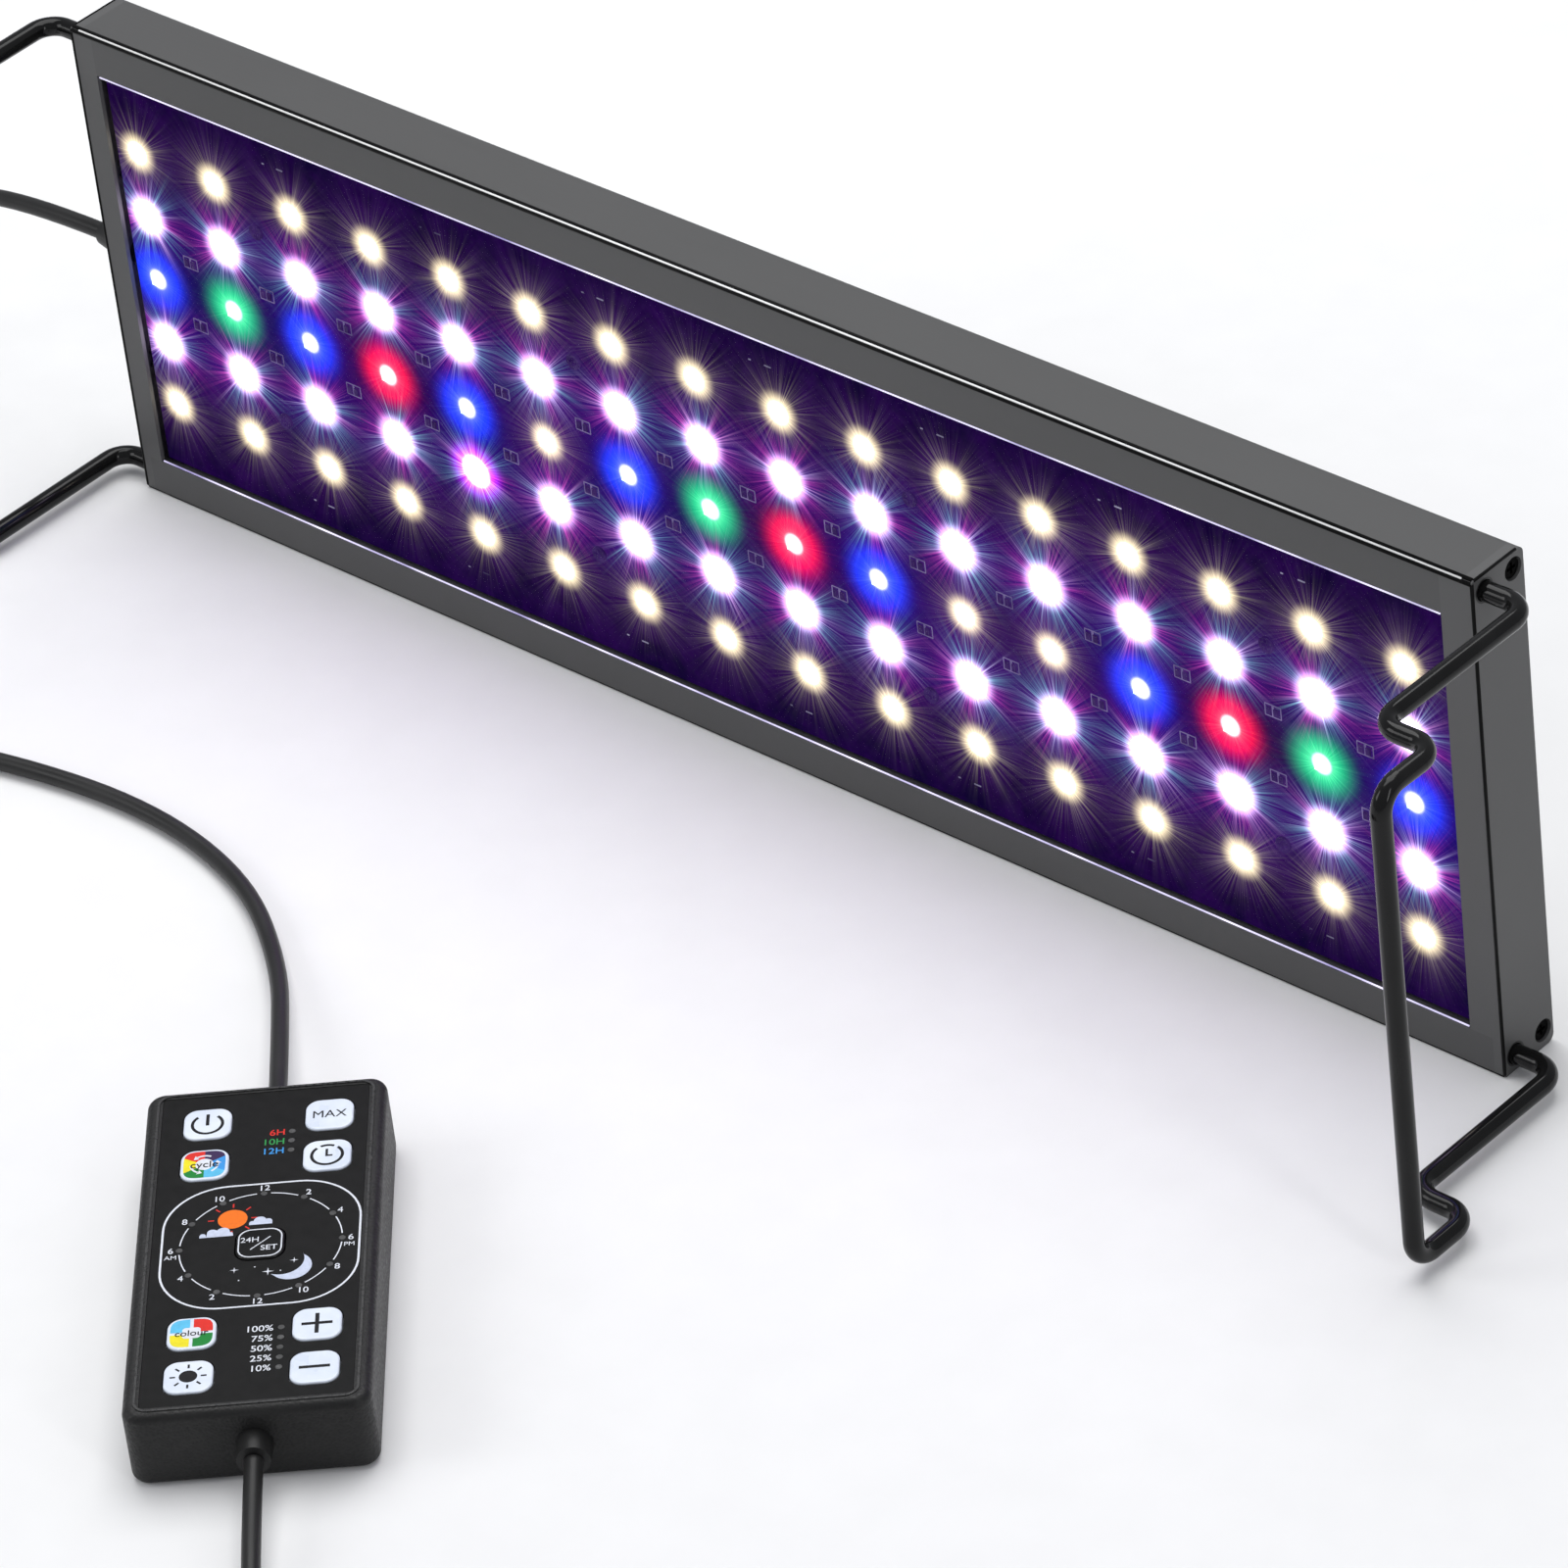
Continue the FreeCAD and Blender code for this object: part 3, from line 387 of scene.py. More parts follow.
def star(paint, x, z, row, odd):
    """Light from every second LED of one row: a white core, a coloured glow and thin rays."""
    letters, core_radius, ray_amount, ray_length, fall = ROWS[row]
    first = grid.first + odd * grid.pitch
    dx = paint.math("WRAP", paint.math("SUBTRACT", x, first), grid.pitch, -grid.pitch)
    dz = paint.math("SUBTRACT", z, grid.row_z(row))
    snapped = paint.math("SUBTRACT", x, dx)
    squares = paint.math("MULTIPLY_ADD", dx, dx, paint.math("MULTIPLY", dz, dz))
    away = paint.math("SQRT", squares)
    glow = column_glow(paint, snapped, letters)

    inside, outside = core_radius - CORE_BLUR, core_radius + CORE_BLUR
    core = paint.span(away, inside, outside, CORE_PEAK, 0.0, smooth=True)
    rim = fade_out(paint, paint.math("SUBTRACT", away, core_radius), RIM_FADE)
    reach = paint.math("MULTIPLY_ADD", glow["Alpha"], GLOW_REACH, core_radius)
    near = paint.span(away, core_radius * GLOW_START, reach, GLOW_PEAK, 0.0, smooth=True)
    halo = paint.math("POWER", near, fall)
    haze_amount = HAZE_WARM if letters is WARM else HAZE_OTHER
    haze = paint.math("MULTIPLY", fade_out(paint, away, HAZE_FADE), haze_amount)

    around = paint.node("ShaderNodeCombineXYZ")
    paint.plug(paint.math("DIVIDE", dx, away), around.inputs[0])
    paint.plug(paint.math("DIVIDE", dz, away), around.inputs[1])
    paint.plug(paint.math("MULTIPLY_ADD", snapped, COLUMN_STEP, row * ROW_STEP), around.inputs[2])
    around = around.outputs[0]
    spokes = paint.noise(1.0, 2, (RAY_COUNT, RAY_COUNT, 1), around, RAY_ROUGHNESS)
    sharp = paint.math("POWER", paint.span(spokes, RAY_LOW, RAY_HIGH), RAY_POWER)
    fading = paint.math("MULTIPLY", sharp, fade_out(paint, away, ray_length))
    rays = paint.math("MULTIPLY", fading, ray_amount)
    if letters is COLUMN_LETTERS:
        ray_colour = paint.vector("ADD", glow["Color"], RAY_PALE)
    else:
        hue = paint.noise(1.0, 0, (HUE_COUNT, HUE_COUNT, 1), around)
        ray_colour = paint.ramp(hue, WARM_HUES if letters is WARM else COOL_HUES)["Color"]

    light = paint.vector("SCALE", glow["Color"], halo)
    hazy = paint.vector("MULTIPLY", glow["Color"], HAZE_TINT)
    light = paint.vector("ADD", light, paint.vector("SCALE", hazy, haze))
    light = paint.vector("ADD", light, paint.vector("SCALE", ray_colour, rays))
    white = paint.vector("SCALE", CORE_WHITE, paint.math("MULTIPLY_ADD", rim, RIM_AMOUNT, core))
    return paint.vector("ADD", light, white)


def lit_board():
    """Black solder mask that shows the LEDs' light as cores, halos and rays."""
    paint = Paint("board_black", rough=0.5, shine=0.0, glow=1.0)
    x, _, z = paint.axes()
    # a faint violet glow all over the board under the stars: painted light from the LEDs, not the
    # board's own colour
    painted_violet_glow = paint.noise(90, 4, uneven=0.65)
    between = [(0.34, (0.001, 0.0, 0.022)), (0.70, (0.016, 0.001, 0.060))]
    total = paint.ramp(painted_violet_glow, between)["Color"]
    for row in range(len(ROWS)):
        for odd in (0, 1):
            total = paint.vector("ADD", total, star(paint, x, z, row, odd))
    paint.emit(total)
    mask = paint.noise(260, 4)
    paint.show(paint.tint(mask, grey(0.0015), grey(0.004)), "Base Color")
    paint.bump(mask, 0.00002, 0.5)
    return paint.material


def led(name, middle, rim, strength):
    """A lit package: phosphor brightest at its middle, with a slightly dimmer rim."""
    paint = Paint(name, (0.8, 0.8, 0.8), 0.3, glow=strength)
    x, _, z = paint.axes()
    half_x, half_z = grid.pitch / 2, grid.row_step / 2
    dx = paint.math("WRAP", paint.math("SUBTRACT", x, grid.first), half_x, -half_x)
    dz = paint.math("WRAP", paint.math("SUBTRACT", z, grid.low_row), half_z, -half_z)
    edge = paint.math("MAXIMUM", paint.math("ABSOLUTE", dx), paint.math("ABSOLUTE", dz))
    edge = paint.math("MULTIPLY_ADD", paint.noise(700, 2), 0.0004, edge)
    outwards = paint.span(edge, 0.0006, 0.0024)
    paint.emit(paint.ramp(outwards, [(0.0, middle), (1.0, rim)])["Color"])
    return paint.material


# ---------------------------------------------------------------- meshes drawn in code

BAR_SIDES = 10
SIDEWAYS = Vector((0.31, 0.62, 0.72))  # along none of the bars, so that it gives each a first side


def tube(path, radius):
    """A round bar along straight runs between points, closed at its ends."""
    bars = bmesh.new()
    turns = [2 * math.pi * k / BAR_SIDES for k in range(BAR_SIDES)]
    rings = []
    for i, place in enumerate(path):
        before, after = path[max(i - 1, 0)], path[min(i + 1, len(path) - 1)]
        ahead = (Vector(after) - Vector(before)).normalized()
        across = ahead.cross(SIDEWAYS).normalized()
        up = ahead.cross(across)
        spokes = [across * math.cos(turn) + up * math.sin(turn) for turn in turns]
        rings.append([bars.verts.new(Vector(place) + radius * spoke) for spoke in spokes])
    for near, far in zip(rings, rings[1:]):
        for k in range(BAR_SIDES):
            after = (k + 1) % BAR_SIDES
            bars.faces.new((near[k], near[after], far[after], far[k]))
    bars.faces.new(rings[0][::-1])
    bars.faces.new(rings[-1])
    bmesh.ops.recalc_face_normals(bars, faces=bars.faces)
    mesh = bpy.data.meshes.new("tube")
    bars.to_mesh(mesh)
    bars.free()
    return mesh


def add_piece(name, meshes, material, body, smooth=False):
    """One visible piece from one or more meshes."""
    whole = bmesh.new()
    for mesh in meshes:
        whole.from_mesh(mesh)
        bpy.data.meshes.remove(mesh)
    mesh = bpy.data.meshes.new(name)
    whole.to_mesh(mesh)
    whole.free()
    mesh.materials.append(material)
    if smooth:
        for face in mesh.polygons:
            face.use_smooth = True
    piece = bpy.data.objects.new(name, mesh)
    scene.collection.objects.link(piece)
    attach(piece, body)


# ---------------------------------------------------------------- painted edge highlight and shade, glints and glowing print on the light

FRONT_ROUND = 0.8 * MM  # rounding of the housing's front edges
WINDOW_LOW, WINDOW_HIGH = 10.4 * MM, 128 * MM  # the housing's opening along Z
BRIGHT_RADIUS, GLINT_RADIUS = 0.34 * MM, 0.22 * MM
DARK_TOP_RADIUS, DARK_BOTTOM_RADIUS = 0.55 * MM, 0.22 * MM
CAP_FRONT_RADIUS, CAP_TOP_RADIUS = 0.45 * MM, 0.4 * MM
CAP_LINE_DEPTH = 0.2 * MM  # how far inside the caps' faces the middles of their dark lines run


def edge_lines(materials):
    """A painted highlight on the rounded top edge, between two painted shade lines, and more
    painted shade lines along other edges.
    """
    low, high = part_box("housing")
    left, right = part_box("end_cap_left")[0].x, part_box("end_cap_right")[1].x
    top, bottom = high.z - FRONT_ROUND, low.z + FRONT_ROUND

    def along(degrees, z_middle, side, inset):
        """A path along a rounded edge, at an angle up or down from its front."""
        turn = math.radians(degrees)
        y = low.y + FRONT_ROUND * (1 - math.cos(turn))
        z = z_middle + side * FRONT_ROUND * math.sin(turn)
        return [(left + inset, y, z), (0, y, z), (right - inset, y, z)]

    bright = tube(along(47, top, 1, 3 * MM), BRIGHT_RADIUS)
    dark = [tube(along(degrees, top, 1, 0.4 * MM), DARK_TOP_RADIUS) for degrees in (2, 88)]
    dark.append(tube(along(45, bottom, -1, 0.4 * MM), DARK_BOTTOM_RADIUS))
    front, above = low.y + CAP_LINE_DEPTH, high.z - CAP_LINE_DEPTH
    for x in (left + CAP_LINE_DEPTH, right - CAP_LINE_DEPTH):
        dark.append(tube([(x, front, bottom), (x, front, top)], CAP_FRONT_RADIUS))
        ends = [(x, low.y + FRONT_ROUND, above), (x, high.y - 2.4 * MM, above)]
        dark.append(tube(ends, CAP_TOP_RADIUS))
    add_piece("edge_highlight_bead", [bright], materials["painted_highlight"], "light", True)
    add_piece("edge_shade_beads", dark, materials["edge_shade_line"], "light", True)


def window_glints(materials):
    """The lens's lit edges along the top and bottom of the window."""
    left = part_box("end_cap_left")[1].x + 0.6 * MM
    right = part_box("end_cap_right")[0].x - 0.6 * MM
    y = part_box("housing")[0].y + 0.4 * MM
    bars = [tube([(left, y, z), (0, y, z), (right, y, z)], GLINT_RADIUS)
            for z in (WINDOW_LOW + 0.3 * MM, WINDOW_HIGH - 0.6 * MM)]
    add_piece("lens_edge_glints", bars, materials["glint"], "light", True)


SAME_CORNER = 1e-6  # corners closer than this, in metres, are one


def islands(node):
    """Lowest and highest corners of each loose solid in a CAD node."""
    mesh = bmesh.new()
    mesh.from_mesh(frame["nodes"][node].data)
    bmesh.ops.remove_doubles(mesh, verts=mesh.verts, dist=SAME_CORNER)
    seen, found = set(), []
    for first in mesh.verts:
        if first in seen:
            continue
        group, queue = [], [first]
        seen.add(first)
        while queue:
            vert = queue.pop()
            group.append(vert.co.copy())
            for edge in vert.link_edges:
                other = edge.other_vert(vert)
                if other not in seen:
                    seen.add(other)
                    queue.append(other)
        found.append((
            Vector(min(c[i] for c in group) for i in range(3)),
            Vector(max(c[i] for c in group) for i in range(3)),
        ))
    mesh.free()
    return found


FRAME_GAP, FRAME_LINE = 0.5 * MM, 0.3 * MM
DASH_FROM_ROW = 12.7 * MM
# half lengths of the long and short dashes, the short ones' distance, and half the width of both
DASH_LONG, DASH_SHORT, DASH_STEP, DASH_THIN = 1.1 * MM, 0.4 * MM, 5.8 * MM, 0.2 * MM


def print_on_board(name, drawing, material, proud):
    """Put a drawing in the frame's x and z, in metres, on the board's front."""
    place = UPRIGHT @ Matrix.Translation((0, 0, -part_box("led_board")[0].y))
    add_piece(name, [drawing.solid(place, 0, proud)], material, "light")


def board_print_glow(materials):
    """A frame of print around each resistor and solder dashes along both long edges, both made pale
    by a painted glow.
    """
    frames = Drawing()
    for low, high in islands("board_resistors"):
        middle, half = (low + high) / 2, (high - low) / 2
        inner = (half.x + FRAME_GAP, half.z + FRAME_GAP)
        outer = (inner[0] + FRAME_LINE, inner[1] + FRAME_LINE)
        frames.band(
            rounded((middle.x, middle.z), *outer, 0.2 * MM, 2),
            rounded((middle.x, middle.z), *inner, 0.1 * MM, 2),
        )
    print_on_board("board_print_frames", frames, materials["board_print_glow"], 0.04 * MM)
    dashes = Drawing()
    for column in range(1, grid.columns - 1, 2):
        x = grid.first + (column + 1) * grid.pitch - 1.7 * MM
        for z in (grid.row_z(len(ROWS) - 1) + DASH_FROM_ROW, grid.row_z(0) - DASH_FROM_ROW):
            dashes.patch(rounded((x, z), DASH_LONG, DASH_THIN, 0.1 * MM, 3))
            dashes.patch(rounded((x - DASH_STEP, z), DASH_SHORT, DASH_THIN, 0.1 * MM, 3))
    print_on_board("board_print_dashes", dashes, materials["solder_glint"], 0.06 * MM)


# ---------------------------------------------------------------- flat drawings

UPRIGHT = Matrix(((1, 0, 0, 0), (0, 0, -1, 0), (0, 1, 0, 0), (0, 0, 0, 1)))  # z up becomes -Y
QUADRANTS = ((1, 1), (1, -1), (-1, -1), (-1, 1))  # clockwise from the top right
SAME_POINT = 1e-9
BOLDER = 0.007  # how far a glyph's outline is moved outwards, in the font's own units
FILLED_WHEN_BOLDER = set("M4")  # moving the outlines of these glyphs fills them


def circle(centre, radius, count=36, start=0, sweep=360):
    """Points along a circle, angles in degrees clockwise from the top."""
    points = []
    for i in range(count if sweep == 360 else count + 1):
        angle = math.radians(start + sweep * i / count)
        x, y = radius * math.sin(angle), radius * math.cos(angle)
        points.append((centre[0] + x, centre[1] + y))
    return points


def spot(centre, radius, degrees):
    """One point of a circle."""
    return circle(centre, radius, 1, degrees)[0]


def rounded(centre, half_x, half_y, radius, count=8):
    """A rectangle with round corners."""
    points = []
    for quarter, (sx, sy) in enumerate(QUADRANTS):
        middle = (centre[0] + sx * (half_x - radius), centre[1] + sy * (half_y - radius))
        points += circle(middle, radius, count, 90 * quarter, 90)
    return points


def bar(start, end, width):
    a, b = Vector(start), Vector(end)
    side = (b - a).normalized().orthogonal() * width / 2
    return [tuple(a + side), tuple(b + side), tuple(b - side), tuple(a - side)]


def word(text, height):
    """A word's triangles, with capitals as tall as height, centred both ways."""
    made = []
    for letters in ("H", text):
        curve = bpy.data.curves.new("word", "FONT")
        curve.body = letters
        curve.offset = 0 if set(text) & FILLED_WHEN_BOLDER else BOLDER
        curve.align_x = "CENTER"
        holder = bpy.data.objects.new("word", curve)
        mesh = bpy.data.meshes.new_from_object(holder)
        corners = [tuple(vert.co[:2]) for vert in mesh.vertices]
        made.append((corners, [tuple(face.vertices) for face in mesh.polygons]))
        bpy.data.meshes.remove(mesh)
        bpy.data.objects.remove(holder)
        bpy.data.curves.remove(curve)
    (capital, _), (points, faces) = made
    scale = height / max(y for _, y in capital)
    return [(x * scale, y * scale - height / 2) for x, y in points], faces


class Drawing:
    """Flat shapes that become one thin printed layer."""

    def __init__(self):
        self.points, self.faces = [], []

    def add(self, points, faces, at=(0, 0)):
        start = len(self.points)
        self.points += [(x + at[0], y + at[1]) for x, y in points]
        self.faces += [[start + i for i in face] for face in faces]
        return self

    def patch(self, outline):
        return self.add(outline, [range(len(outline))])

    def band(self, outer, inner, closed=True):
        """The area between two outlines with as many points, point by point."""
        n = len(outer)
        faces = []
        for i in range(n if closed else n - 1):
            after = (i + 1) % n
            faces.append((i, after, n + after, n + i))
        return self.add(outer + inner, faces)

    def arc(self, centre, radius, width, start, sweep):
        """Part of a ring, with a step for about every eight degrees."""
        count = max(6, int(sweep / 8))
        outer = circle(centre, radius + width / 2, count, start, sweep)
        inner = circle(centre, radius - width / 2, count, start, sweep)
        return self.band(outer, inner, closed=False)

    def word(self, text, height, at, right=False):
        points, faces = word(text, height)
        if right:
            at = (at[0] - max(x for x, _ in points), at[1])
        return self.add(points, faces, at)

    def solid(self, place, sunk, proud):
        """The drawing as a thin closed mesh from sunk below its plane to proud above it."""
        layer = bmesh.new()
        verts = [layer.verts.new((x, y, -sunk)) for x, y in self.points]
        for face in self.faces:
            layer.faces.new([verts[i] for i in face])
        bmesh.ops.remove_doubles(layer, verts=layer.verts, dist=SAME_POINT)
        grown = bmesh.ops.extrude_face_region(layer, geom=layer.faces[:])["geom"]
        top = [v for v in grown if isinstance(v, bmesh.types.BMVert)]
        bmesh.ops.translate(layer, verts=top, vec=(0, 0, sunk + proud))
        bmesh.ops.recalc_face_normals(layer, faces=layer.faces)
        layer.transform(place)
        mesh = bpy.data.meshes.new("layer")
        layer.to_mesh(mesh)
        layer.free()
        return mesh


# ---------------------------------------------------------------- the controller's print

# Every drawing below is in millimetres about the middle of the top face that it lies on.
CONTROLLER_TURN = math.radians(42)
PRINT_SUNK, PRINT_PROUD = 0.01, 0.02
LABEL = "controller_face_label"
SIGN_ARM, SIGN_WIDTH = 3.55, 0.95
FIELD = 4.9  # half the width of the coloured field on a key
DOT = 2.1  # radius of the round middle of an icon


def on_top(node):
    """Takes a drawing to the middle of a node's top face, turned with the controller."""
    low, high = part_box(node)
    middle = Vector(((low.x + high.x) / 2, (low.y + high.y) / 2, high.z))
    turned = Matrix.Translation(middle) @ Matrix.Rotation(CONTROLLER_TURN, 4, "Z")
    return turned @ Matrix.Scale(MM, 4)


def print_on(node, name, drawing, ink, body, layer=1):
    """Put a drawing on a node's top face. Each layer stands a little higher than the last."""
    add_piece(name, [drawing.solid(on_top(node), PRINT_SUNK, PRINT_PROUD * layer)], ink, body)


def plain_icons(inks):
    """The icons in one colour on a white key."""
    power = Drawing().arc((0, -0.2), 3.55, 0.75, 40, 280).patch(bar((0, 3.5), (0, -0.7), 0.8))
    timer = Drawing().arc((0, -0.1), 3.6, 0.75, 42, 276).arc((0, -0.1), 3.6, 0.7, -26, 52)
    timer.patch([(-0.4, 2.1), (0.2, 2.1), (0.2, -0.1), (1.3, -0.1), (1.3, -0.65), (-0.4, -0.65)])
    half = SIGN_WIDTH / 2
    plus = Drawing().patch(bar((-SIGN_ARM, 0), (SIGN_ARM, 0), SIGN_WIDTH))
    for side in (1, -1):
        plus.patch(bar((0, side * half), (0, side * SIGN_ARM), SIGN_WIDTH))
    brightness = Drawing().patch(circle((0, 0), DOT))
    for turn in range(0, 360, 45):
        brightness.patch(bar(spot((0, 0), 2.9, turn), spot((0, 0), 4.2, turn), 0.5))
    icons = {
        "power": power,
        "max": Drawing().word("MAX", 2.6, (0, 0)),
        "timer": timer,
        "plus": plus,
        "minus": Drawing().patch(bar((-SIGN_ARM, 0), (SIGN_ARM, 0), SIGN_WIDTH)),
        "brightness": brightness,
    }
    for key, drawing in icons.items():
        print_on("button_" + key, "icon_" + key, drawing, inks["black"], "key_" + key)


def set_icon(inks):
    drawing = Drawing().band(rounded((0, 0), 5.12, 5.12, 3.0), rounded((0, 0), 4.80, 4.80, 2.7))
    drawing.patch(bar((-2.2, -2.3), (2.35, 2.1), 0.26))
    drawing.word("24H", 1.75, (-2.4, 1.35)).word("SET", 1.75, (2.1, -1.85))
    print_on("button_set_24h", "icon_set", drawing, inks["white"], "key_set_24h")


def wedge(start, sweep):
    """A slice of the coloured field, angles in degrees clockwise from the top."""
    steps = 12
    points = [(0.0, 0.0)]
    for i in range(steps + 1):
        angle = math.radians(start + sweep * i / steps)
        x, y = math.sin(angle), math.cos(angle)
        size = FIELD / (abs(x) ** 4 + abs(y) ** 4) ** 0.25
        points.append((x * size, y * size))
    return points


def cycle_icon(inks):
    """Six colours, three arrows around a white middle, and a word."""
    for i, ink in enumerate(("purple", "blue", "sky", "green", "yellow", "red")):
        part = Drawing().patch(wedge(60 * i, 60))
        print_on("button_cycle", "cycle_" + ink, part, inks[ink], "key_cycle")
    arrows = Drawing().patch(circle((0, 0), DOT))
    for start in (-35, 85, 205):
        arrows.arc((0, 0), 3.2, 0.5, start, 62)
        tip, out = spot((0, 0), 3.2, start - 18), spot((0, 0), 4.0, start + 2)
        arrows.patch([tip, out, spot((0, 0), 2.4, start + 2)])
    print_on("button_cycle", "cycle_arrows", arrows, inks["white"], "key_cycle", 2)
    label = Drawing().word("cycle", 2.3, (0, 0))
    print_on("button_cycle", "cycle_word", label, inks["black"], "key_cycle", 3)


def colour_icon(inks):
    """Four colours with white gaps between them, a white middle and a word."""
    gap = 0.4
    for i, ink in enumerate(("red", "green", "yellow", "sky")):
        sx, sy = QUADRANTS[i]
        corner = [(sx * max(abs(x), gap), sy * max(abs(y), gap)) for x, y in wedge(90 * i, 90)]
        print_on("button_colour", "colour_" + ink, Drawing().patch(corner), inks[ink], "key_colour")
    blob = Drawing().patch(rounded((0, 0), 2.1, 1.9, 0.9))
    print_on("button_colour", "colour_blob", blob, inks["white"], "key_colour", 2)
    label = Drawing().word("colour", 2.0, (0, 0))
    print_on("button_colour", "colour_word", label, inks["black"], "key_colour", 3)


OUTLINE_AT = (0.94, -0.53)
HOURS_AT, HOURS_RADIUS, NUMBERS_RADIUS = (1.0, -0.5), 18.8, 20.8
STARS = (((-4.7, -9.4), 1.05), ((3.1, -10.8), 1.4), ((9.0, -7.4), 1.0))
SPARKS = ((0, -8.8), (6.0, -10.8), (-3.5, -13.3))


def dial(inks):
    """The 24-hour ring: outline, arcs between the indicator dots, and hours outside them."""
    outer = rounded(OUTLINE_AT, 23.1, 22.65, 15, 14)
    white = Drawing().band(outer, rounded(OUTLINE_AT, 22.6, 22.15, 14.5, 14))
    for i, hour in enumerate(("12", "2", "4", "6", "8", "10") * 2):
        white.arc(HOURS_AT, HOURS_RADIUS, 0.3, 30 * i + 5, 20)
        white.word(hour, 1.9, spot(HOURS_AT, NUMBERS_RADIUS, 30 * i))
    white.word("PM", 1.4, (21.5, -3.0)).word("AM", 1.4, (-19.7, -3.0))
    for at, reach in STARS:
        white.patch([spot(at, reach if i % 2 == 0 else reach * 0.2, 45 * i) for i in range(8)])
    for at in SPARKS:
        white.patch(circle(at, 0.2, 8))
    for row, level in enumerate(("100%", "75%", "50%", "25%", "10%")):
        white.word(level, 2.05, (5.2, -31.4 - 3.55 * row), right=True)
    print_on(LABEL, "legend_white", white, inks["white"], "light")


def cloud(base, puffs):
    """A flat-bottomed cloud under round puffs, each (x, y, radius)."""
    steps = 40
    left, right = min(x - r for x, _, r in puffs), max(x + r for x, _, r in puffs)
    points = [(left, base)]
    for i in range(steps + 1):
        x = left + (right - left) * i / steps
        heights = [base + 0.05]
        for middle, y, r in puffs:
            if abs(x - middle) <= r:
                heights.append(y + math.sqrt(max(r * r - (x - middle) ** 2, 0)))
        points.append((x, max(heights)))
    return points + [(right, base)]


SUN_AT = (-5.9, 9.5)


def day_and_night(inks):
    """Sun behind a cloud, a second cloud and a crescent moon."""
    sun = Drawing().patch(circle(SUN_AT, 3.45))
    print_on(LABEL, "legend_sun", sun, inks["orange"], "light")
    rays = Drawing()
    for turn in (0, 45, 90, 135, 180, 270, 315):  # the cloud covers the one at 225
        rays.patch(bar(spot(SUN_AT, 4.3, turn), spot(SUN_AT, 5.7, turn), 0.34))
    print_on(LABEL, "legend_sun_rays", rays, inks["red"], "light")
    puffs = ((-12.6, 4.1, 0.75), (-10.4, 4.9, 1.3), (-7.9, 5.0, 1.6), (-6.2, 4.1, 0.7))
    pale = Drawing().patch(cloud(3.4, puffs))
    pale.patch(cloud(6.8, ((-1.3, 7.5, 0.7), (0.5, 8.2, 1.45), (2.4, 7.8, 0.95))))
    outer = circle((8.3, -9.5), 4.85, 30, 36, 195)
    inner = circle((6.0, -7.0), 5.35, 24, 66, 138)
    pale.patch(outer + inner[::-1])
    print_on(LABEL, "legend_clouds_moon", pale, inks["pale"], "light", 2)


def hour_legends(inks):
    for text, ink, y in (("6H", "red", 40.95), ("10H", "leaf", 37.5), ("12H", "blue", 34.0)):
        drawing = Drawing().word(text, 2.15, (4.9, y), right=True)
        print_on(LABEL, "legend_" + text, drawing, inks[ink], "light")


def rim_ridge(plastic):
    """The fine raised line in the grained rim, just outside the label, its lighter tone a painted
    highlight.
    """
    ridge = Drawing().band(rounded((0, 0), 25.6, 58.1, 3.4), rounded((0, 0), 25.05, 57.55, 3.0))
    raised = ridge.solid(on_top("controller_top_shell"), 0.02, 0.25)
    add_piece("controller_rim_ridge", [raised], plastic, "light")


# ---------------------------------------------------------------- the two leads

CORD_D = 0.0045
COIL_POINTS = 16  # per turn
# the lengths and control points from here on are in millimetres
COIL_RADIUS, COIL_FLOOR, COIL_RISE = 25.3, 2.5, 4.5
LIGHT_RUN = [
    (-236.0, 0.0, 70.0),
    (-268.0, 0.3, 69.3),
    (-298.0, 0.9, 60.5),
    (-317.0, 1.5, 42.0),
    (-331.0, -1.5, 20.5),
    (-341.0, -17.0, 6.2),
    (-346.0, -43.0, 2.7),
    (-344.5, -72.0, 2.6),
    (-338.0, -99.0, 2.5),
]
CONTROLLER_RUN = [
    (-282.0, -149.0, 14.0),
    (-248.0, -146.0, 6.0),
    (-208.0, -134.5, 2.7),
    (-163.0, -120.0, 2.5),
    (-117.0, -114.5, 2.5),
    (-76.0, -123.0, 2.6),
    (-43.5, -144.5, 3.7),
    (-19.5, -168.0, 8.0),
    (0.2, -188.7, 10.0),
]
SUPPLY_RUN = [
    (88.7, -286.9, 10.0),
    (106.0, -306.0, 7.6),
    (125.5, -326.5, 3.0),
]
JACK_RUN = [
    (194.5, -336.5, 10.6),
    (212.5, -320.0, 7.0),
    (228.5, -306.0, 6.0),
]


def coil(centre, turns, start_degrees):
    """Round turns on the floor, each a cord's thickness above the last."""
    points = []
    for i in range(round(turns * COIL_POINTS) + 1):
        angle = math.radians(start_degrees) + 2 * math.pi * i / COIL_POINTS
        points.append((
            centre[0] + COIL_RADIUS * math.cos(angle),
            centre[1] + COIL_RADIUS * math.sin(angle),
            COIL_FLOOR + COIL_RISE * i / COIL_POINTS,
        ))
    return points


def add_lead(name, points, material):
    curve = bpy.data.curves.new(name, "CURVE")
    curve.dimensions = "3D"
    spline = curve.splines.new("NURBS")
    spline.points.add(len(points) - 1)
    for point, place in zip(spline.points, points):
        point.co = (*(Vector(place) * MM), 1)
    spline.order_u = 3
    spline.use_endpoint_u = True
    curve.resolution_u = 8
    curve.bevel_depth = CORD_D / 2
    curve.bevel_resolution = 6
    curve.use_fill_caps = True
    curve.materials.append(material)
    lead = bpy.data.objects.new(name, curve)
    scene.collection.objects.link(lead)
    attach(lead, "light")
    return lead


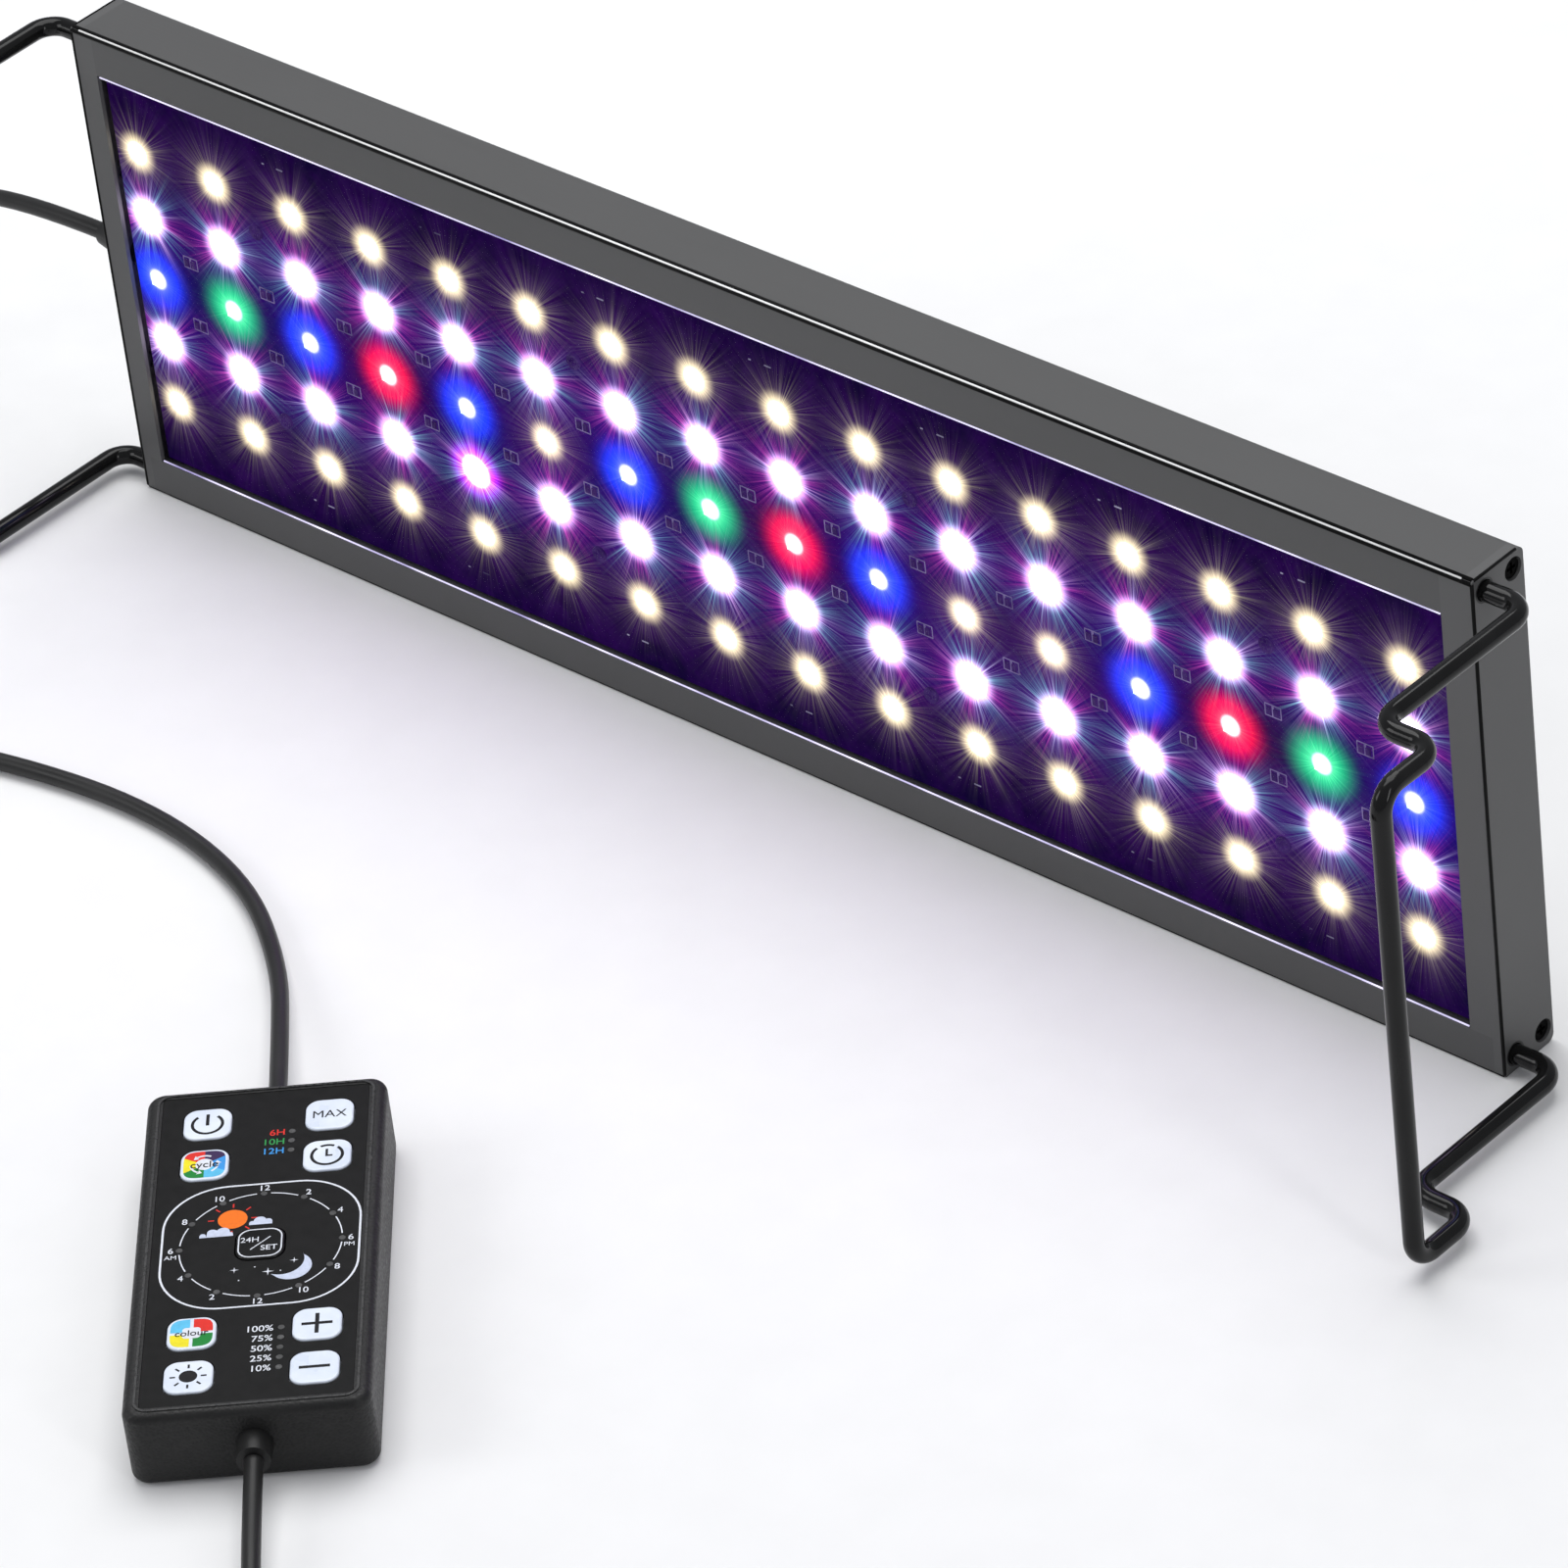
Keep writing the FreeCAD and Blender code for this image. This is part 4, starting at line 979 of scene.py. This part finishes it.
def add_leads(rubber):
    to_controller = LIGHT_RUN + coil((-310.0, -123.0), 3.25, 180) + CONTROLLER_RUN
    light_lead = add_lead("light_lead", to_controller, rubber)
    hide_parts("light_lead_run", "light_lead_coil", "controller_lead_run")
    to_jack = SUPPLY_RUN + coil((162.8, -330.9), 2.25, 222) + JACK_RUN
    supply_lead = add_lead("supply_lead", to_jack, rubber)
    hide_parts("supply_lead_run", "supply_lead_coil", "jack_lead_run")


# ---------------------------------------------------------------- materials by slot

def node_materials():
    parts_glow_tones = (0.02, 0.005, 0.07), (0.05, 0.02, 0.13)
    return {
        "housing_metal": cast_metal("housing_metal", grey(0.076), grey(0.085), 0.42),
        "cap_plastic": cast_metal("cap_plastic", grey(0.090), grey(0.102), 0.46),
        "rod_black": gloss_black("rod_black", 0.11, 500, 0.00001),
        "lens_clear": clear_lens(),
        "seal_rubber": simple("seal_rubber", grey(0.006), grey(0.012), 0.5),
        "board_black": lit_board(),
        "led_warm_white": led("led_warm_white", (1, 0.98, 0.9), (1, 0.95, 0.8), 3.0),
        "led_cool_white": led("led_cool_white", (1, 1, 1), (0.98, 0.94, 1), 3.0),
        "led_blue": led("led_blue", (0.95, 1, 1), (0.35, 0.75, 1), 2.0),
        "led_green": led("led_green", (1, 1, 1), (0.5, 1, 0.7), 2.0),
        "led_red": led("led_red", (1, 0.95, 0.9), (1, 0.25, 0.22), 2.0),
        "led_violet": led("led_violet", (1, 1, 1), (0.95, 0.85, 1), 2.5),
        "chip_black": simple("chip_black", grey(0.004), grey(0.015), 0.4),
        # the screws sit in recesses: near black with almost no shine, as painted shade of the
        # recesses
        "screw_steel": simple("screw_steel", grey(0.0005), grey(0.002), 0.6, shine=0.03),
        # the board's screws and resistors glow like the board around them: painted light of the
        # LEDs
        "parts_painted_glow": glowing(
            "parts_painted_glow", (0.002, 0.002, 0.004), 0.4, parts_glow_tones, (300, 2), shine=0.05),
        "terminal_green": simple("terminal_green", (0.02, 0.2, 0.05), (0.03, 0.3, 0.08), 0.4),
        "core_wire": simple("core_wire", (0.3, 0.02, 0.02), (0.4, 0.03, 0.03), 0.4),
        "controller_plastic": grained_plastic(),
        "label_black": label_film(),
        "key_white": key_plastic(),
        "control_board": simple("control_board", (0.01, 0.08, 0.03), (0.02, 0.12, 0.05), 0.4),
        "switch_metal": simple("switch_metal", grey(0.4), grey(0.5), 0.3, metal=0.9),
        "pipe_clear": simple("pipe_clear", grey(0.05), grey(0.08), 0.25),
        "key_black": gloss_black("key_black", 0.2, 900, 0.00001),
        "cord_rubber": cord_rubber(),
        "contact_nickel": simple(
            "contact_nickel", (0.5, 0.48, 0.44), (0.62, 0.6, 0.55), 0.25, metal=1.0),
    }


def extra_materials():
    """Finishes of the pieces that the CAD doesn't have."""
    glint_tones = (0.10, 0.06, 0.30), (1.0, 0.95, 1.2)
    print_glow_tones = (0.10, 0.07, 0.22), (0.32, 0.25, 0.55)
    solder_glint_tones = (0.02, 0.01, 0.05), (0.30, 0.28, 0.42)
    dark = (0.02, 0.02, 0.03)
    return {
        # a near-white line with a little glow: painted highlight on the housing's rounded top edge
        "painted_highlight": simple("painted_edge_highlight", grey(0.85), grey(0.95), 0.3, 30, 0.00001, glow=0.04),
        # near-black lines: painted shade on the rounded edges beside the highlight, along the
        # bottom edge and along the caps' edges
        "edge_shade_line": simple("edge_shade_line", grey(0.002), grey(0.005), 0.5, shine=0.1),
        "glint": glowing("glint", (0.5, 0.5, 0.6), 0.2, glint_tones, (60, 2, (1, 0.1, 0.1))),
        # lighter than the grained shell around it: painted highlight on the rim's ridge
        "rim_ridge_highlight": simple("rim_ridge_highlight", grey(0.02), grey(0.035), 0.3, 900, 0.00001),
        # the print is real, but its paleness is a painted glow of the LEDs' light
        "board_print_glow": glowing(
            "board_print_glow", dark, 0.5, print_glow_tones, (180, 2), shine=0.1, glow=0.6),
        # solder dashes that glow: painted highlight of the LEDs' light on the solder
        "solder_glint": glowing("solder_glint", dark, 0.3, solder_glint_tones, (45, 1), shine=0.1),
    }


INKS = {
    "black": (0.006, 0.006, 0.008),
    "white": (0.80, 0.83, 0.90),
    "pale": (0.62, 0.68, 0.84),
    "red": (0.78, 0.03, 0.02),
    "orange": (0.95, 0.19, 0.01),
    "yellow": (0.90, 0.78, 0.02),
    "green": (0.01, 0.24, 0.04),
    "leaf": (0.03, 0.33, 0.08),
    "sky": (0.12, 0.55, 0.85),
    "blue": (0.05, 0.33, 0.80),
    "purple": (0.045, 0.02, 0.09),
}


def ink_materials():
    """Screen-printed inks: a flat colour with a slight mottle and raised grain."""
    made = {}
    for name, colour in INKS.items():
        thin = tuple(0.85 * c for c in colour)
        made[name] = simple("ink_" + name, thin, colour, 0.5, 900, 0.000005, shine=0.2)
    return made


LIT_NODES = ("board_screws", "board_resistors")  # the LEDs' glow shows on these


def dress_nodes(materials):
    for part in frame["record"]["subparts"]:
        finish = "parts_painted_glow" if part["node"] in LIT_NODES else part["material_slot"]
        for held in frame["nodes"][part["node"]].material_slots:
            held.material = materials[finish]


FLOOR_SIZE, FLOOR_Z = 9, -0.2 * MM
FLOOR_CELLS = 8


def add_floor():
    bpy.ops.mesh.primitive_grid_add(
        x_subdivisions=FLOOR_CELLS, y_subdivisions=FLOOR_CELLS,
        size=FLOOR_SIZE, location=(0, 0, FLOOR_Z))
    floor = bpy.context.active_object
    floor.name = "floor"
    paint = Paint("floor_paper", rough=0.7, shine=0.2)
    fibre = paint.noise(50, 4)
    paint.show(paint.tint(fibre, grey(0.85), grey(0.87)), "Base Color")
    floor.data.materials.append(paint.material)


add_camera()
MATERIALS = node_materials()
add_leads(MATERIALS["cord_rubber"])
light_the_studio()
add_floor()
dress_nodes(MATERIALS)
EXTRA = extra_materials()
edge_lines(EXTRA)
window_glints(EXTRA)
board_print_glow(EXTRA)
INK = ink_materials()
for draw in (plain_icons, set_icon, cycle_icon, colour_icon, dial, day_and_night, hour_legends):
    draw(INK)
rim_ridge(EXTRA["rim_ridge_highlight"])
